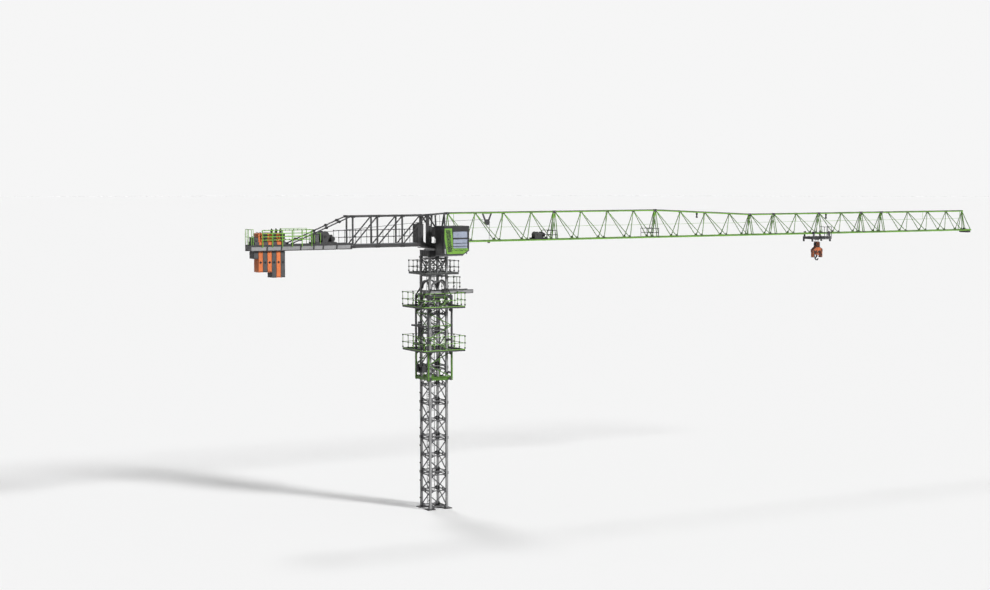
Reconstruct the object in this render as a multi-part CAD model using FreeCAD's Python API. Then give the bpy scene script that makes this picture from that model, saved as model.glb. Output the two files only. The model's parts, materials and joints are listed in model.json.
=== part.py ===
import FreeCAD, Part
import math
import os

# Flat-top tower crane at half size: a lattice mast with its climbing cage, a slewing
# upper part with jib and counter-jib, a trolley on the jib and a hook block below it.
# Millimetres. +X runs out along the jib, +Z is up, and the origin is on the underside
# of the base frame, on the axis of the mast.

V = FreeCAD.Vector

# ---- mast ----
MAST_PITCH = 740.0          # between the axes of neighbouring corner posts
MAST_POST = 84.0            # square corner post
MAST_BRACE = 40.0           # diagonal across its flats
SECTION_HEIGHT = 1400.0
SECTION_COUNT = 6
SLEEVE = 116.0              # square joint sleeve at each end of a post
SLEEVE_HEIGHT = 55.0
END_FRAME_DROP = 70.0       # end frame axis below the section's end
BASE_THICK = 30.0
FOOT_PLATE = 320.0
ANCHOR_SPACING = 230.0
ANCHOR_HOLE = 16.0          # radius
MAST_TOP = BASE_THICK + SECTION_COUNT * SECTION_HEIGHT
LADDER_WIDTH = 220.0
LADDER_BAR = 18.0
LADDER_X = -250.0
RUNG_STEP = 150.0

# ---- climbing cage ----
CAGE_PITCH = 1040.0
CAGE_POST = 60.0
CAGE_BRACE = 32.0
CAGE_TOP = MAST_TOP
CAGE_BOTTOM = CAGE_TOP - 3300.0
CAGE_HEAD = 50.0            # depth of the ring on top of the cage
CAGE_APEX = CAGE_TOP - 125.0  # highest meeting point of the zigzag, on the front post
CAGE_ZIGZAG = 510.0         # height of each leg of the zigzag
PLATFORM_HALF = 915.0
PLATFORM_DECK = 24.0
LOWER_PLATFORM_Z = CAGE_TOP - 2150.0
UPPER_PLATFORM_Z = CAGE_TOP - 450.0
RAILING_HEIGHT = 590.0
RAIL_BAR = 18.0
TOE_BOARD = 60.0
TOE_THICK = 8.0
GATE_HALF = 300.0           # gap in the front railing for a mast section
CYLINDER_RADIUS = 60.0
ROD_RADIUS = 34.0
CYLINDER_X = -640.0
CYLINDER_BEAM_Z = CAGE_TOP - 1190.0
CYLINDER_BEAM_DEPTH = 60.0
POWER_PACK_DEPTH = 210.0
YOKE_Z = CAGE_TOP - 1930.0

# ---- fixed support under the slewing ring ----
SUPPORT_HEIGHT = 1560.0
GUSSET_BOTTOM = 285.0       # gusset plates start this far above the mast top
GUSSET_TOP = 800.0
ARCH_TOP = 640.0
ARCH_BAND = 55.0
GUSSET_THICK = 50.0
SUPPORT_PLATFORM_Z = MAST_TOP + 875.0
SUPPORT_PLATFORM_HALF = 730.0
SUPPORT_RAILING = 520.0
SLEW_BOX_HALF = 400.0
SLEW_BOX_HEIGHT = 250.0
SLEW_BOX_WALL = 20.0
INTRO_RAIL_END = 1650.0
INTRO_RAIL_Y = 230.0
INTRO_RAIL_DEPTH = 150.0
INTRO_PLATFORM_END = 1050.0
INTRO_PLATFORM_HALF = 250.0
INTRO_RAILING = 500.0

# ---- slewing ring and turntable ----
RING_OUTER = 380.0
RING_SPLIT = RING_OUTER - 60.0
RING_INNER = RING_OUTER - 125.0
RING_HEIGHT = 50.0
MOVING_GAP = 5.0            # smallest gap between pieces that move past each other
TURNTABLE_LIFT = 40.0
TURNTABLE_HALF = 430.0      # along the jib
TURNTABLE_SIDE = 550.0      # across the jib
TURNTABLE_BOX = 310.0       # outside of the box walls across the jib
TURNTABLE_PLATE = 30.0
TURNTABLE_WALL = 90.0
MOTOR_RADIUS = 75.0
PINION_RADIUS = 50.0
PINION_HEIGHT = 45.0
PINION_SHAFT = 25.0
MOTOR_HEIGHT = 420.0

# ---- jib ----
JIB_WIDTH = 450.0           # between the axes of the two lower chords
JIB_DEPTH = 1125.0          # from lower chord axis to upper chord axis
JIB_TIP_DEPTH = 880.0
JIB_LIFT = 80.0             # lower chord of the jib above that of the counter-jib
JIB_ROOT_X = 575.0
JIB_BAY = 1300.0
FULL_SECTION = (JIB_BAY, JIB_BAY, JIB_BAY, 1100.0)
JIB_BAYS = (FULL_SECTION, FULL_SECTION, FULL_SECTION, (JIB_BAY,), (1275.0, 1275.0),
            (JIB_BAY, 1150.0), (1200.0,), (400.0, 1200.0, 1200.0, 1150.0, 1050.0))
TAPER_SECTION = 3
LOWER_CHORD = 60.0
UPPER_CHORD = 70.0
JIB_BRACE = 30.0
JIB_NODE_SHARE = 0.77       # place of the lower node along each bay
SHORT_BAY = 500.0           # a bay shorter than this has no lower node
TIP_OVERHANG = 335.0
CHORD_LUG_LENGTH = 90.0
TIP_BOX_LENGTH = 220.0
TIP_BOX_DEPTH = 90.0
RAIL_THICK = 12.0
RAIL_WIDTH = 50.0
RAIL_START = 900.0
RAIL_END_GAP = 40.0

TROLLEY_WINCH_X = JIB_ROOT_X + sum(FULL_SECTION) - 1025.0
TROLLEY_WINCH_LENGTH = 570.0
ROPE_GUIDE_OFFSET = 545.0   # into the second bay

# ---- counter-jib ----
COUNTER_HALF = 275.0        # truss plane from the middle
COUNTER_POSTS = (-450.0, -1525.0, -2600.0, -3650.0)
COUNTER_TOP_Z = MAST_TOP + 3190.0
COUNTER_CHORD = 70.0
COUNTER_POST = 54.0
COUNTER_END = -7830.0
DECK_BEAM_DEPTH = 235.0
DECK_BEAM_WIDTH = 60.0
TIE_FOOT_X = -6150.0
TIE_AT = 250.0
TIE_WIDTH = 44.0
DECK_PLATE = 12.0

# ---- machinery and ballast ----
WINCH_X = -4775.0
WINCH_LENGTH = 900.0
DRUM_RADIUS = 150.0
DRUM_LENGTH = 340.0
DRUM_FLANGE = 205.0
DRUM_SHAFT = 30.0
SHAFT_GAP = 0.05
WEIGHT_REAR = -7690.0
WEIGHT_PITCH = 180.0
WEIGHT_THICK = 165.0
WEIGHT_HALF = 225.0
WEIGHT_EAR = 300.0
WEIGHT_RISES = (1660.0, 1150.0, 1150.0, 1150.0, 940.0, 940.0, 940.0)
WEIGHT_BOTTOMS = [MAST_TOP + rise for rise in WEIGHT_RISES]
WEIGHT_TOPS = [MAST_TOP + 2450.0] + [MAST_TOP + 2610.0] * 6
WEIGHT_EAR_DEPTH = 110.0
CABINET_HEIGHT = 725.0
BOARD_REAR = -7400.0
BOARD_FRONT = -5365.0
BOARD_RISE = 170.0          # lower edge of the sign frame above the side beam
BOARD_HEIGHT = 390.0

# ---- cab ----
CAB_REAR = -245.0
CAB_LENGTH = 1095.0
CAB_INNER = -610.0
CAB_WIDTH = 740.0
CAB_FLOOR = MAST_TOP + 1650.0
CAB_HEIGHT = 1130.0
CAB_SILL = 275.0            # lower edge of the windows above the floor
CAB_HEAD = 195.0            # upper edge of the windows below the roof
CAB_WINDOW = 388.0          # windows start this far from the rear wall
CAB_WALL = 20.0
GLASS_THICK = 8.0

# ---- trolley and hook ----
TROLLEY_X = 19350.0
TROLLEY_LENGTH = 1060.0
WHEEL_RADIUS = 50.0
WHEEL_WIDTH = 34.0
TROLLEY_DROP = 150.0        # top of the trolley frame below the lower chord axis
TROLLEY_FRAME = 105.0
TROLLEY_LEG = 110.0
TROLLEY_BAR = 60.0
HANGER_THICK = 18.0
ROPE_RADIUS = 6.0
FALL_X = 70.0
FALL_Y = 34.0
BLOCK_HALF = 262.0
CHEEK_THICK = 16.0
CHEEK_GAP = 120.0
HEAD_DEPTH = 285.0          # upper head of the hook block
CROSS_DEPTH = 300.0         # crosspiece below the head
ARM_DEPTH = 410.0           # outer sheave arms
ARM_WIDTH = 95.0
HOOK_THICK = 50.0
HOOK_EYE = 52.0
HOOK_BAR = 42.0
SHANK_RADIUS = 24.0
SHANK_LENGTH = 90.0

# ---- places worked out from the sizes above ----
POST_AT = MAST_PITCH / 2
SUPPORT_TOP = MAST_TOP + SUPPORT_HEIGHT
SLEW_BOX_TOP = SUPPORT_TOP + SLEW_BOX_HEIGHT
TURNTABLE_Z = SLEW_BOX_TOP + RING_HEIGHT + TURNTABLE_LIFT
HEAD_Z = TURNTABLE_Z + TURNTABLE_PLATE + TURNTABLE_WALL
CHORD_Z = HEAD_Z + LOWER_CHORD / 2
JIB_CHORD_Z = CHORD_Z + JIB_LIFT
JIB_TOP_Z = JIB_CHORD_Z + JIB_DEPTH
DECK_BEAM_TOP = CHORD_Z + 125.0
CAGE_AT = CAGE_PITCH / 2
CAGE_OUTER = CAGE_AT + CAGE_POST / 2
DRUM_Z = DECK_BEAM_TOP + DRUM_FLANGE + 60.0
TROLLEY_BOTTOM = JIB_CHORD_Z - TROLLEY_DROP - TROLLEY_FRAME
HOOK_TOP = TROLLEY_BOTTOM - TROLLEY_LEG - 15.0
BLOCK_BOTTOM = HOOK_TOP - HEAD_DEPTH - CROSS_DEPTH
PINION_AT = RING_OUTER + PINION_RADIUS + MOVING_GAP
HANGER_Y = JIB_WIDTH / 2 + LOWER_CHORD / 2 + RAIL_WIDTH + MOVING_GAP
JIB_LENGTHS = [sum(bays) for bays in JIB_BAYS]
JIB_TIP_X = JIB_ROOT_X + sum(JIB_LENGTHS)
INTRO_BOTTOM = MAST_TOP + SLEEVE_HEIGHT + 20.0
INTRO_TOP = INTRO_BOTTOM + INTRO_RAIL_DEPTH


def box(x0, x1, y0, y1, z0, z1):
    """A block between two corners."""
    return Part.makeBox(x1 - x0, y1 - y0, z1 - z0, V(x0, y0, z0))


def post(x, y, z0, z1, size):
    """An upright square bar centred on x, y."""
    return box(x - size / 2, x + size / 2, y - size / 2, y + size / 2, z0, z1)


def beam(start, end, width, depth):
    """A rectangular bar between two points, its depth as near upright as it can be."""
    p = V(*start)
    along = V(*end) - p
    length = along.Length
    along.normalize()
    across = V(0, 0, 1).cross(along)
    if across.Length < 1e-6:
        across = V(0, 1, 0)
    across.normalize()
    up = along.cross(across)
    bar = Part.makeBox(length, width, depth, V(0, -width / 2, -depth / 2))
    turn = FreeCAD.Rotation(along, across, up, "XYZ")
    bar.Placement = FreeCAD.Placement(p, turn)
    return bar


def rod(start, end, size, sides=6):
    """A straight bar of few sides between two points, its size across the flats."""
    p = V(*start)
    along = V(*end) - p
    reach = size / 2 / math.cos(math.pi / sides)
    corners = []
    for i in range(sides + 1):
        turn = 2 * math.pi * (i + 0.5) / sides
        corners.append(V(reach * math.cos(turn), reach * math.sin(turn), 0))
    bar = Part.Face(Part.makePolygon(corners)).extrude(V(0, 0, along.Length))
    bar.Placement = FreeCAD.Placement(p, FreeCAD.Rotation(V(0, 0, 1), along))
    return bar


def cylinder(start, end, radius):
    """A round bar between two points."""
    p = V(*start)
    along = V(*end) - p
    return Part.makeCylinder(radius, along.Length, p, along)


def plate(points, thick, along):
    """A flat plate with the given outline, thickened along a direction."""
    outline = [V(*p) for p in points]
    outline.append(outline[0])
    return Part.Face(Part.makePolygon(outline)).extrude(V(*along) * thick)


def join(shapes):
    """One solid of pieces that are welded together."""
    whole = shapes[0].multiFuse(shapes[1:]).removeSplitter()
    return whole


def write(name, shape):
    shape.exportStep("parts/" + name + ".step")


def write_set(name, shapes):
    """Several like solids that don't touch, in one file."""
    write(name, Part.makeCompound(shapes))


# ---------------------------------------------------------------- mast

def base_frame():
    """Four anchor plates joined by a flat cross, the face that stands on the footing."""
    parts = []
    half = FOOT_PLATE / 2
    for x in (-POST_AT, POST_AT):
        for y in (-POST_AT, POST_AT):
            parts.append(box(x - half, x + half, y - half, y + half, 0, BASE_THICK))
    for sign in (-1, 1):
        start = (-POST_AT, -sign * POST_AT, BASE_THICK / 2)
        end = (POST_AT, sign * POST_AT, BASE_THICK / 2)
        parts.append(beam(start, end, SLEEVE, BASE_THICK))
    frame = join(parts)
    holes = []
    for x in (-POST_AT, POST_AT):
        for y in (-POST_AT, POST_AT):
            for dx in (-ANCHOR_SPACING / 2, ANCHOR_SPACING / 2):
                for dy in (-ANCHOR_SPACING / 2, ANCHOR_SPACING / 2):
                    foot = (x + dx, y + dy, -1)
                    holes.append(cylinder(foot, (x + dx, y + dy, BASE_THICK + 1), ANCHOR_HOLE))
    return frame.cut(holes)


def corner_posts(bottom, top):
    """Four mast posts with a joint sleeve at each end."""
    parts = []
    for x in (-POST_AT, POST_AT):
        for y in (-POST_AT, POST_AT):
            parts.append(post(x, y, bottom, top, MAST_POST))
            parts.append(post(x, y, bottom, bottom + SLEEVE_HEIGHT, SLEEVE))
            parts.append(post(x, y, top - SLEEVE_HEIGHT, top, SLEEVE))
    return parts


def square_ring(z, size):
    """Four bars round the mast at one level, from post to post."""
    corners = [(-POST_AT, -POST_AT), (POST_AT, -POST_AT), (POST_AT, POST_AT), (-POST_AT, POST_AT)]
    bars = []
    for i in range(4):
        a = corners[i]
        b = corners[(i + 1) % 4]
        bars.append(beam((a[0], a[1], z), (b[0], b[1], z), size, size))
    return bars


def mast_section(index):
    """One lattice section: a K of two diagonals on each side, turned from side to side."""
    bottom = BASE_THICK + index * SECTION_HEIGHT
    top = bottom + SECTION_HEIGHT
    middle = (bottom + top) / 2
    low = bottom + END_FRAME_DROP
    high = top - END_FRAME_DROP
    parts = corner_posts(bottom, top)
    for z in (low, middle, high):
        parts += square_ring(z, MAST_BRACE)
    corners = [(-POST_AT, -POST_AT), (POST_AT, -POST_AT), (POST_AT, POST_AT), (-POST_AT, POST_AT)]
    for i in range(4):
        a = corners[i]
        b = corners[(i + 1) % 4]
        for z in (low, high):
            parts.append(rod((a[0], a[1], z), (b[0], b[1], middle), MAST_BRACE))
    return join(parts)


def mast_ladder():
    """The ladder inside the mast, held off the rear face at every section."""
    bottom = BASE_THICK + RUNG_STEP
    top = SUPPORT_TOP - RUNG_STEP
    parts = []
    for y in (-LADDER_WIDTH / 2, LADDER_WIDTH / 2):
        parts.append(post(LADDER_X, y, bottom, top, LADDER_BAR))
        for i in range(SECTION_COUNT):
            z = BASE_THICK + (i + 0.5) * SECTION_HEIGHT
            parts.append(beam((-POST_AT + MAST_BRACE / 2, y, z), (LADDER_X, y, z), LADDER_BAR, LADDER_BAR))
    for i in range(int((top - bottom) / RUNG_STEP)):
        z = bottom + (i + 0.5) * RUNG_STEP
        parts.append(beam((LADDER_X, -LADDER_WIDTH / 2, z), (LADDER_X, LADDER_WIDTH / 2, z), 12, 12))
    return join(parts)


# ---------------------------------------------------------------- climbing cage

def cage_points():
    """Heights where the zigzag of the cage turns, from the top down, front post first."""
    count = int((CAGE_APEX - CAGE_BOTTOM - CAGE_POST) / CAGE_ZIGZAG) + 1
    return [CAGE_APEX - i * CAGE_ZIGZAG for i in range(count)]


def cage_side(side):
    """One long side of the cage: two posts with zigzag bracing and a few cross bars."""
    y = side * CAGE_AT
    parts = [post(x, y, CAGE_BOTTOM, CAGE_TOP, CAGE_POST) for x in (-CAGE_AT, CAGE_AT)]
    points = cage_points()
    half = CAGE_BRACE / 2
    levels = (CAGE_TOP - half, UPPER_PLATFORM_Z - half, points[2], LOWER_PLATFORM_Z - half,
              CAGE_BOTTOM + 2 * CAGE_POST + half)
    for z in levels:
        parts.append(beam((-CAGE_AT, y, z), (CAGE_AT, y, z), CAGE_BRACE, CAGE_BRACE))
    for i in range(len(points) - 1):
        x = CAGE_AT if i % 2 == 0 else -CAGE_AT
        parts.append(rod((x, y, points[i]), (-x, y, points[i + 1]), CAGE_BRACE))
    return join(parts)


def cage_rear():
    """The closed rear side of the cage, between the posts of the two long sides."""
    reach = CAGE_AT - CAGE_POST / 2
    inner = reach - 2 * CAGE_BRACE
    parts = []
    levels = [z - CAGE_BRACE for z in cage_points()]
    for z in levels:
        parts.append(beam((-CAGE_AT, -reach, z), (-CAGE_AT, reach, z), CAGE_BRACE, CAGE_BRACE))
    for i in range(len(levels) - 1):
        side = 1 if i % 2 == 0 else -1
        start = (-CAGE_AT, -side * inner, levels[i])
        parts.append(rod(start, (-CAGE_AT, side * inner, levels[i + 1]), CAGE_BRACE))
    return join(parts)


def cage_bottom_frame():
    """The guide frame round the mast at the foot of the cage, with its guide shoes."""
    outer = CAGE_AT - CAGE_POST / 2
    top = CAGE_BOTTOM + 2 * CAGE_POST
    inner = outer - CAGE_POST / 2
    ring = box(-outer, outer, -outer, outer, CAGE_BOTTOM, top)
    ring = ring.cut(box(-inner, inner, -inner, inner, CAGE_BOTTOM - 1, top + 1))
    parts = [ring]
    shoe = POST_AT + MAST_POST / 2 + 2.0
    for x in (-POST_AT, POST_AT):
        for side in (-1, 1):
            y0 = shoe if side > 0 else -inner
            y1 = inner if side > 0 else -shoe
            parts.append(box(x - CAGE_BRACE, x + CAGE_BRACE, y0, y1, CAGE_BOTTOM, top))
            parts.append(box(y0, y1, x - CAGE_BRACE, x + CAGE_BRACE, CAGE_BOTTOM, top))
    return join(parts)


def cage_head():
    """The top ring of the cage and the braces that hang it from the fixed support."""
    outer = CAGE_OUTER
    inner = CAGE_AT - CAGE_POST / 2
    top = CAGE_TOP + CAGE_HEAD
    ring = box(-outer, outer, -outer, outer, CAGE_TOP, top)
    ring = ring.cut(box(-inner, inner, -inner, inner, CAGE_TOP - 1, top + 1))
    parts = [ring]
    foot = MAST_TOP + GUSSET_BOTTOM
    reach = POST_AT + MAST_POST / 2
    half = CAGE_POST / 2
    pad = CAGE_POST + 10
    for x in (-1, 1):
        for y in (-1, 1):
            corner = (x * CAGE_AT, y * CAGE_AT, CAGE_TOP + CAGE_HEAD / 2)
            end = (x * POST_AT, y * (reach + pad - 20), foot)
            low = min(y * reach, y * (reach + pad))
            high = max(y * reach, y * (reach + pad))
            parts.append(beam(corner, end, CAGE_HEAD, CAGE_HEAD))
            parts.append(box(x * POST_AT - half, x * POST_AT + half, low, high, foot - half, foot + half))
    return join(parts)


def fence(start, end, z, height, size, count):
    """A straight railing: end posts, posts between them, a top rail and a middle rail."""
    parts = []
    for i in range(count):
        share = i / (count - 1)
        x = start[0] + share * (end[0] - start[0])
        y = start[1] + share * (end[1] - start[1])
        parts.append(post(x, y, z, z + height, size))
    for level in (z + height / 2, z + height - size / 2):
        parts.append(beam((start[0], start[1], level), (end[0], end[1], level), size, size))
    return parts


def toe_boards(half, z):
    """A low board along each edge of a square platform."""
    ring = box(-half, half, -half, half, z, z + TOE_BOARD)
    inner = half - TOE_THICK
    return ring.cut(box(-inner, inner, -inner, inner, z - 1, z + TOE_BOARD + 1))


def railing(half, z, height, gate):
    """The railing round a square platform, with a gap of twice the gate in front."""
    edge = half - RAIL_BAR / 2
    parts = [toe_boards(half, z)]
    parts += fence((-edge, -edge), (edge, -edge), z, height, RAIL_BAR, 5)
    parts += fence((-edge, edge), (edge, edge), z, height, RAIL_BAR, 5)
    parts += fence((-edge, -edge), (-edge, edge), z, height, RAIL_BAR, 5)
    if gate:
        parts += fence((edge, -edge), (edge, -gate), z, height, RAIL_BAR, 3)
        parts += fence((edge, gate), (edge, edge), z, height, RAIL_BAR, 3)
    else:
        parts += fence((edge, -edge), (edge, edge), z, height, RAIL_BAR, 5)
    return parts


def ring_platform(half, opening, z, height, gate):
    """A square walkway round the tower with its railing."""
    deck = box(-half, half, -half, half, z, z + PLATFORM_DECK)
    deck = deck.cut(box(-opening, opening, -opening, opening, z - 1, z + PLATFORM_DECK + 1))
    return join([deck] + railing(half, z + PLATFORM_DECK, height, gate))


def lower_platform():
    """The lower walkway of the cage, with a slot that lets the yoke pass down."""
    walkway = ring_platform(PLATFORM_HALF, CAGE_OUTER, LOWER_PLATFORM_Z, RAILING_HEIGHT, 0)
    back = CYLINDER_X - CYLINDER_RADIUS - 2 * MOVING_GAP
    side = POST_AT + 2 * MOVING_GAP
    low = LOWER_PLATFORM_Z - 1
    return walkway.cut(box(back, -CAGE_OUTER + 1, -side, side, low, low + PLATFORM_DECK + 2))


def climbing_cylinder():
    """The cross beam behind the cage with the cylinder that hangs from it."""
    face = -CAGE_OUTER
    back = CYLINDER_X - CYLINDER_RADIUS - 20
    parts = [box(back, face, -CAGE_OUTER, CAGE_OUTER, CYLINDER_BEAM_Z,
                 CYLINDER_BEAM_Z + CYLINDER_BEAM_DEPTH)]
    bottom = YOKE_Z + 200
    parts.append(cylinder((CYLINDER_X, 0, bottom), (CYLINDER_X, 0, CYLINDER_BEAM_Z + 200), CYLINDER_RADIUS))
    body = join(parts)
    bore_top = CYLINDER_BEAM_Z + 120
    bore = cylinder((CYLINDER_X, 0, bottom - 1), (CYLINDER_X, 0, bore_top), ROD_RADIUS + SHAFT_GAP)
    return body.cut(bore)


def climbing_yoke():
    """The piston rod and the yoke that pushes on the pegs of the mast."""
    top = CYLINDER_BEAM_Z + 90
    parts = [cylinder((CYLINDER_X, 0, YOKE_Z + 50), (CYLINDER_X, 0, top), ROD_RADIUS)]
    back = CYLINDER_X - CYLINDER_RADIUS
    front = CYLINDER_X + CYLINDER_RADIUS
    parts.append(box(back, front, -POST_AT, POST_AT, YOKE_Z, YOKE_Z + 110))
    return join(parts)


def power_pack():
    """The hydraulic pump unit on its bracket behind the cage."""
    face = -CAGE_OUTER
    z = CAGE_BOTTOM + 340
    back = face - POWER_PACK_DEPTH
    parts = [box(back - 20, face, -470, -130, z, z + 20)]
    parts.append(box(back, face - 10, -460, -140, z + 20, z + 270))
    parts.append(cylinder((face - 110, -430, z + 310), (face - 110, -170, z + 310), 55))
    return join(parts)


def introduction_rails():
    """Two rails that stand out to the front for bringing in mast sections."""
    parts = []
    for y in (-INTRO_RAIL_Y, INTRO_RAIL_Y):
        parts.append(box(-POST_AT, INTRO_RAIL_END, y - 30, y + 30, INTRO_TOP - 14, INTRO_TOP))
        parts.append(box(-POST_AT, INTRO_RAIL_END, y - 30, y + 30, INTRO_BOTTOM, INTRO_BOTTOM + 14))
        parts.append(box(-POST_AT, INTRO_RAIL_END, y - 6, y + 6, INTRO_BOTTOM, INTRO_TOP))
    edge = INTRO_RAIL_Y + 30
    for x in (POST_AT + 120, INTRO_RAIL_END - 40):
        parts.append(box(x, x + 40, -edge, edge, INTRO_BOTTOM + 40, INTRO_TOP - 40))
    return join(parts)


def introduction_platform():
    """The small railed platform on top of the introduction rails."""
    start = POST_AT + SLEEVE
    half = INTRO_PLATFORM_HALF
    deck = box(start, INTRO_PLATFORM_END, -half, half, INTRO_TOP, INTRO_TOP + PLATFORM_DECK)
    edge = half - RAIL_BAR / 2
    front = INTRO_PLATFORM_END - RAIL_BAR / 2
    z = INTRO_TOP + PLATFORM_DECK
    rear = start + RAIL_BAR / 2
    parts = [deck]
    parts += fence((rear, -edge), (front, -edge), z, INTRO_RAILING, RAIL_BAR, 3)
    parts += fence((rear, edge), (front, edge), z, INTRO_RAILING, RAIL_BAR, 3)
    parts += fence((front, -edge), (front, edge), z, INTRO_RAILING, RAIL_BAR, 3)
    return join(parts)


# ---------------------------------------------------------------- fixed support

def arched_gusset(side, along_x):
    """A curved band that stiffens the corners between two posts."""
    inner = POST_AT - MAST_POST / 2
    bottom = MAST_TOP + GUSSET_BOTTOM
    rise = MAST_TOP + ARCH_TOP - inner
    at = side * POST_AT
    low = at - GUSSET_THICK / 2
    high = at + GUSSET_THICK / 2
    hole = inner - ARCH_BAND
    if along_x:
        frame = box(-inner, inner, low, high, bottom, rise + inner)
        outside = cylinder((0, low, rise), (0, high, rise), inner)
        arch = cylinder((0, low - 1, rise), (0, high + 1, rise), hole)
        legs = box(-inner, inner, low, high, bottom, rise)
        gap = box(-hole, hole, low - 1, high + 1, bottom - 1, rise)
    else:
        frame = box(low, high, -inner, inner, bottom, rise + inner)
        outside = cylinder((low, 0, rise), (high, 0, rise), inner)
        arch = cylinder((low - 1, 0, rise), (high + 1, 0, rise), hole)
        legs = box(low, high, -inner, inner, bottom, rise)
        gap = box(low - 1, high + 1, -hole, hole, bottom - 1, rise)
    band = frame.common(outside.fuse(legs))
    return band.cut([arch, gap])


def support_section():
    """The lattice that carries the slewing box, with arched gussets at its foot."""
    parts = corner_posts(MAST_TOP, SUPPORT_TOP)
    low = MAST_TOP + SLEEVE_HEIGHT / 2
    parts += square_ring(low, SLEEVE_HEIGHT)
    for side in (-1, 1):
        parts.append(arched_gusset(side, True))
        parts.append(arched_gusset(side, False))
    bottom = MAST_TOP + GUSSET_TOP
    high = SUPPORT_TOP - END_FRAME_DROP
    parts += square_ring(bottom, MAST_BRACE)
    parts += square_ring(high, MAST_BRACE)
    corners = [(-POST_AT, -POST_AT), (POST_AT, -POST_AT), (POST_AT, POST_AT), (-POST_AT, POST_AT)]
    for i in range(4):
        a = corners[i]
        b = corners[(i + 1) % 4]
        parts.append(rod((a[0], a[1], bottom), (b[0], b[1], high), MAST_BRACE))
        parts.append(rod((b[0], b[1], bottom), (a[0], a[1], high), MAST_BRACE))
    return join(parts)


def slew_box():
    """The welded box under the slewing ring."""
    half = SLEW_BOX_HALF
    inner = half - SLEW_BOX_WALL
    shell = box(-half, half, -half, half, SUPPORT_TOP, SLEW_BOX_TOP)
    room = box(-inner, inner, -inner, inner, SUPPORT_TOP + SLEW_BOX_WALL, SLEW_BOX_TOP - SLEW_BOX_WALL)
    hole = cylinder((0, 0, SUPPORT_TOP - 1), (0, 0, SLEW_BOX_TOP + 1), RING_INNER)
    return shell.cut([room, hole])


def ring(outer, inner, bottom, top):
    """A flat round ring."""
    body = cylinder((0, 0, bottom), (0, 0, top), outer)
    return body.cut(cylinder((0, 0, bottom - 1), (0, 0, top + 1), inner))


# ---------------------------------------------------------------- upper part

def turntable():
    """The plate on the moving race, the box walls on it and the arms that carry the cab."""
    half = TURNTABLE_HALF
    wall = SLEW_BOX_WALL
    plate_top = TURNTABLE_Z + TURNTABLE_PLATE
    base = box(-half, half, -TURNTABLE_SIDE, TURNTABLE_SIDE, TURNTABLE_Z, plate_top)
    walls = box(-half, half, -TURNTABLE_BOX, TURNTABLE_BOX, plate_top, HEAD_Z)
    room = box(-half + wall, half - wall, -TURNTABLE_BOX + wall, TURNTABLE_BOX - wall, plate_top, HEAD_Z)
    parts = [base, walls.cut(room)]
    for x in (CAB_REAR + 40, half - 120):
        parts.append(box(x, x + 80, CAB_INNER, -TURNTABLE_BOX, plate_top, HEAD_Z))
    body = join(parts)
    holes = [cylinder((0, 0, TURNTABLE_Z - 1), (0, 0, plate_top + 1), RING_INNER)]
    for side in (-1, 1):
        at = side * PINION_AT
        hole = cylinder((0, at, TURNTABLE_Z - 1), (0, at, plate_top + 1), PINION_SHAFT + MOVING_GAP)
        holes.append(hole)
    return body.cut(holes)


def slew_motors():
    """Two upright gear motors with their pinions beside the ring."""
    solids = []
    base = TURNTABLE_Z + TURNTABLE_PLATE
    pinion = SLEW_BOX_TOP + MOVING_GAP
    for side in (-1, 1):
        at = side * PINION_AT
        parts = [cylinder((0, at, base), (0, at, base + MOTOR_HEIGHT), MOTOR_RADIUS)]
        parts.append(cylinder((0, at, base), (0, at, base + 25), MOTOR_RADIUS + 15))
        parts.append(cylinder((0, at, pinion), (0, at, base), PINION_SHAFT))
        parts.append(cylinder((0, at, pinion), (0, at, pinion + PINION_HEIGHT), PINION_RADIUS))
        solids.append(join(parts))
    return solids


def tower_head():
    """The frame between jib and counter-jib: base, rear portal and front struts."""
    front = TURNTABLE_HALF - LOWER_CHORD / 2
    rear = -TURNTABLE_HALF + COUNTER_CHORD / 2
    side = TURNTABLE_BOX - LOWER_CHORD / 2
    z = CHORD_Z
    pin = (JIB_ROOT_X - CHORD_LUG_LENGTH, 0, JIB_TOP_Z)
    parts = []
    low = JIB_CHORD_Z
    edge = LOWER_CHORD / 2
    wide = TURNTABLE_BOX
    parts.append(box(rear - edge, rear + edge, -wide, wide, HEAD_Z, z + edge))
    parts.append(box(front - edge, front + edge, -wide, wide, HEAD_Z, low + edge))
    for y in (-1, 1):
        chord = y * JIB_WIDTH / 2
        rear_foot = (rear, y * COUNTER_HALF, z)
        rear_top = (rear, y * COUNTER_HALF, COUNTER_TOP_Z)
        parts.append(beam((rear, y * side, z), (front, y * side, z), LOWER_CHORD, LOWER_CHORD))
        parts.append(beam((front, chord, low), (JIB_ROOT_X, chord, low), LOWER_CHORD, LOWER_CHORD))
        parts.append(beam(rear_foot, rear_top, COUNTER_CHORD, COUNTER_CHORD))
        parts.append(beam(rear_top, pin, COUNTER_POST, COUNTER_POST))
        parts.append(beam((front, chord, low), pin, COUNTER_POST, COUNTER_POST))
        parts.append(rod(rear_top, (front, y * side, z), COUNTER_POST))
        parts.append(rod((0, y * side, z), (0, y * COUNTER_HALF / 2, COUNTER_TOP_Z - 10), COUNTER_POST))
    top = COUNTER_TOP_Z
    parts.append(beam((rear, -COUNTER_HALF, top), (rear, COUNTER_HALF, top), COUNTER_POST, COUNTER_POST))
    half = UPPER_CHORD / 2
    parts.append(box(pin[0], JIB_ROOT_X, -half, half, JIB_TOP_Z - half, JIB_TOP_Z + half))
    return join(parts)


def jib_nodes(start, bays):
    """Upper and lower node places along one jib section."""
    upper = [start]
    lower = []
    for bay in bays:
        if bay > SHORT_BAY:
            lower.append(upper[-1] + JIB_NODE_SHARE * bay)
        upper.append(upper[-1] + bay)
    return upper, lower


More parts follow.
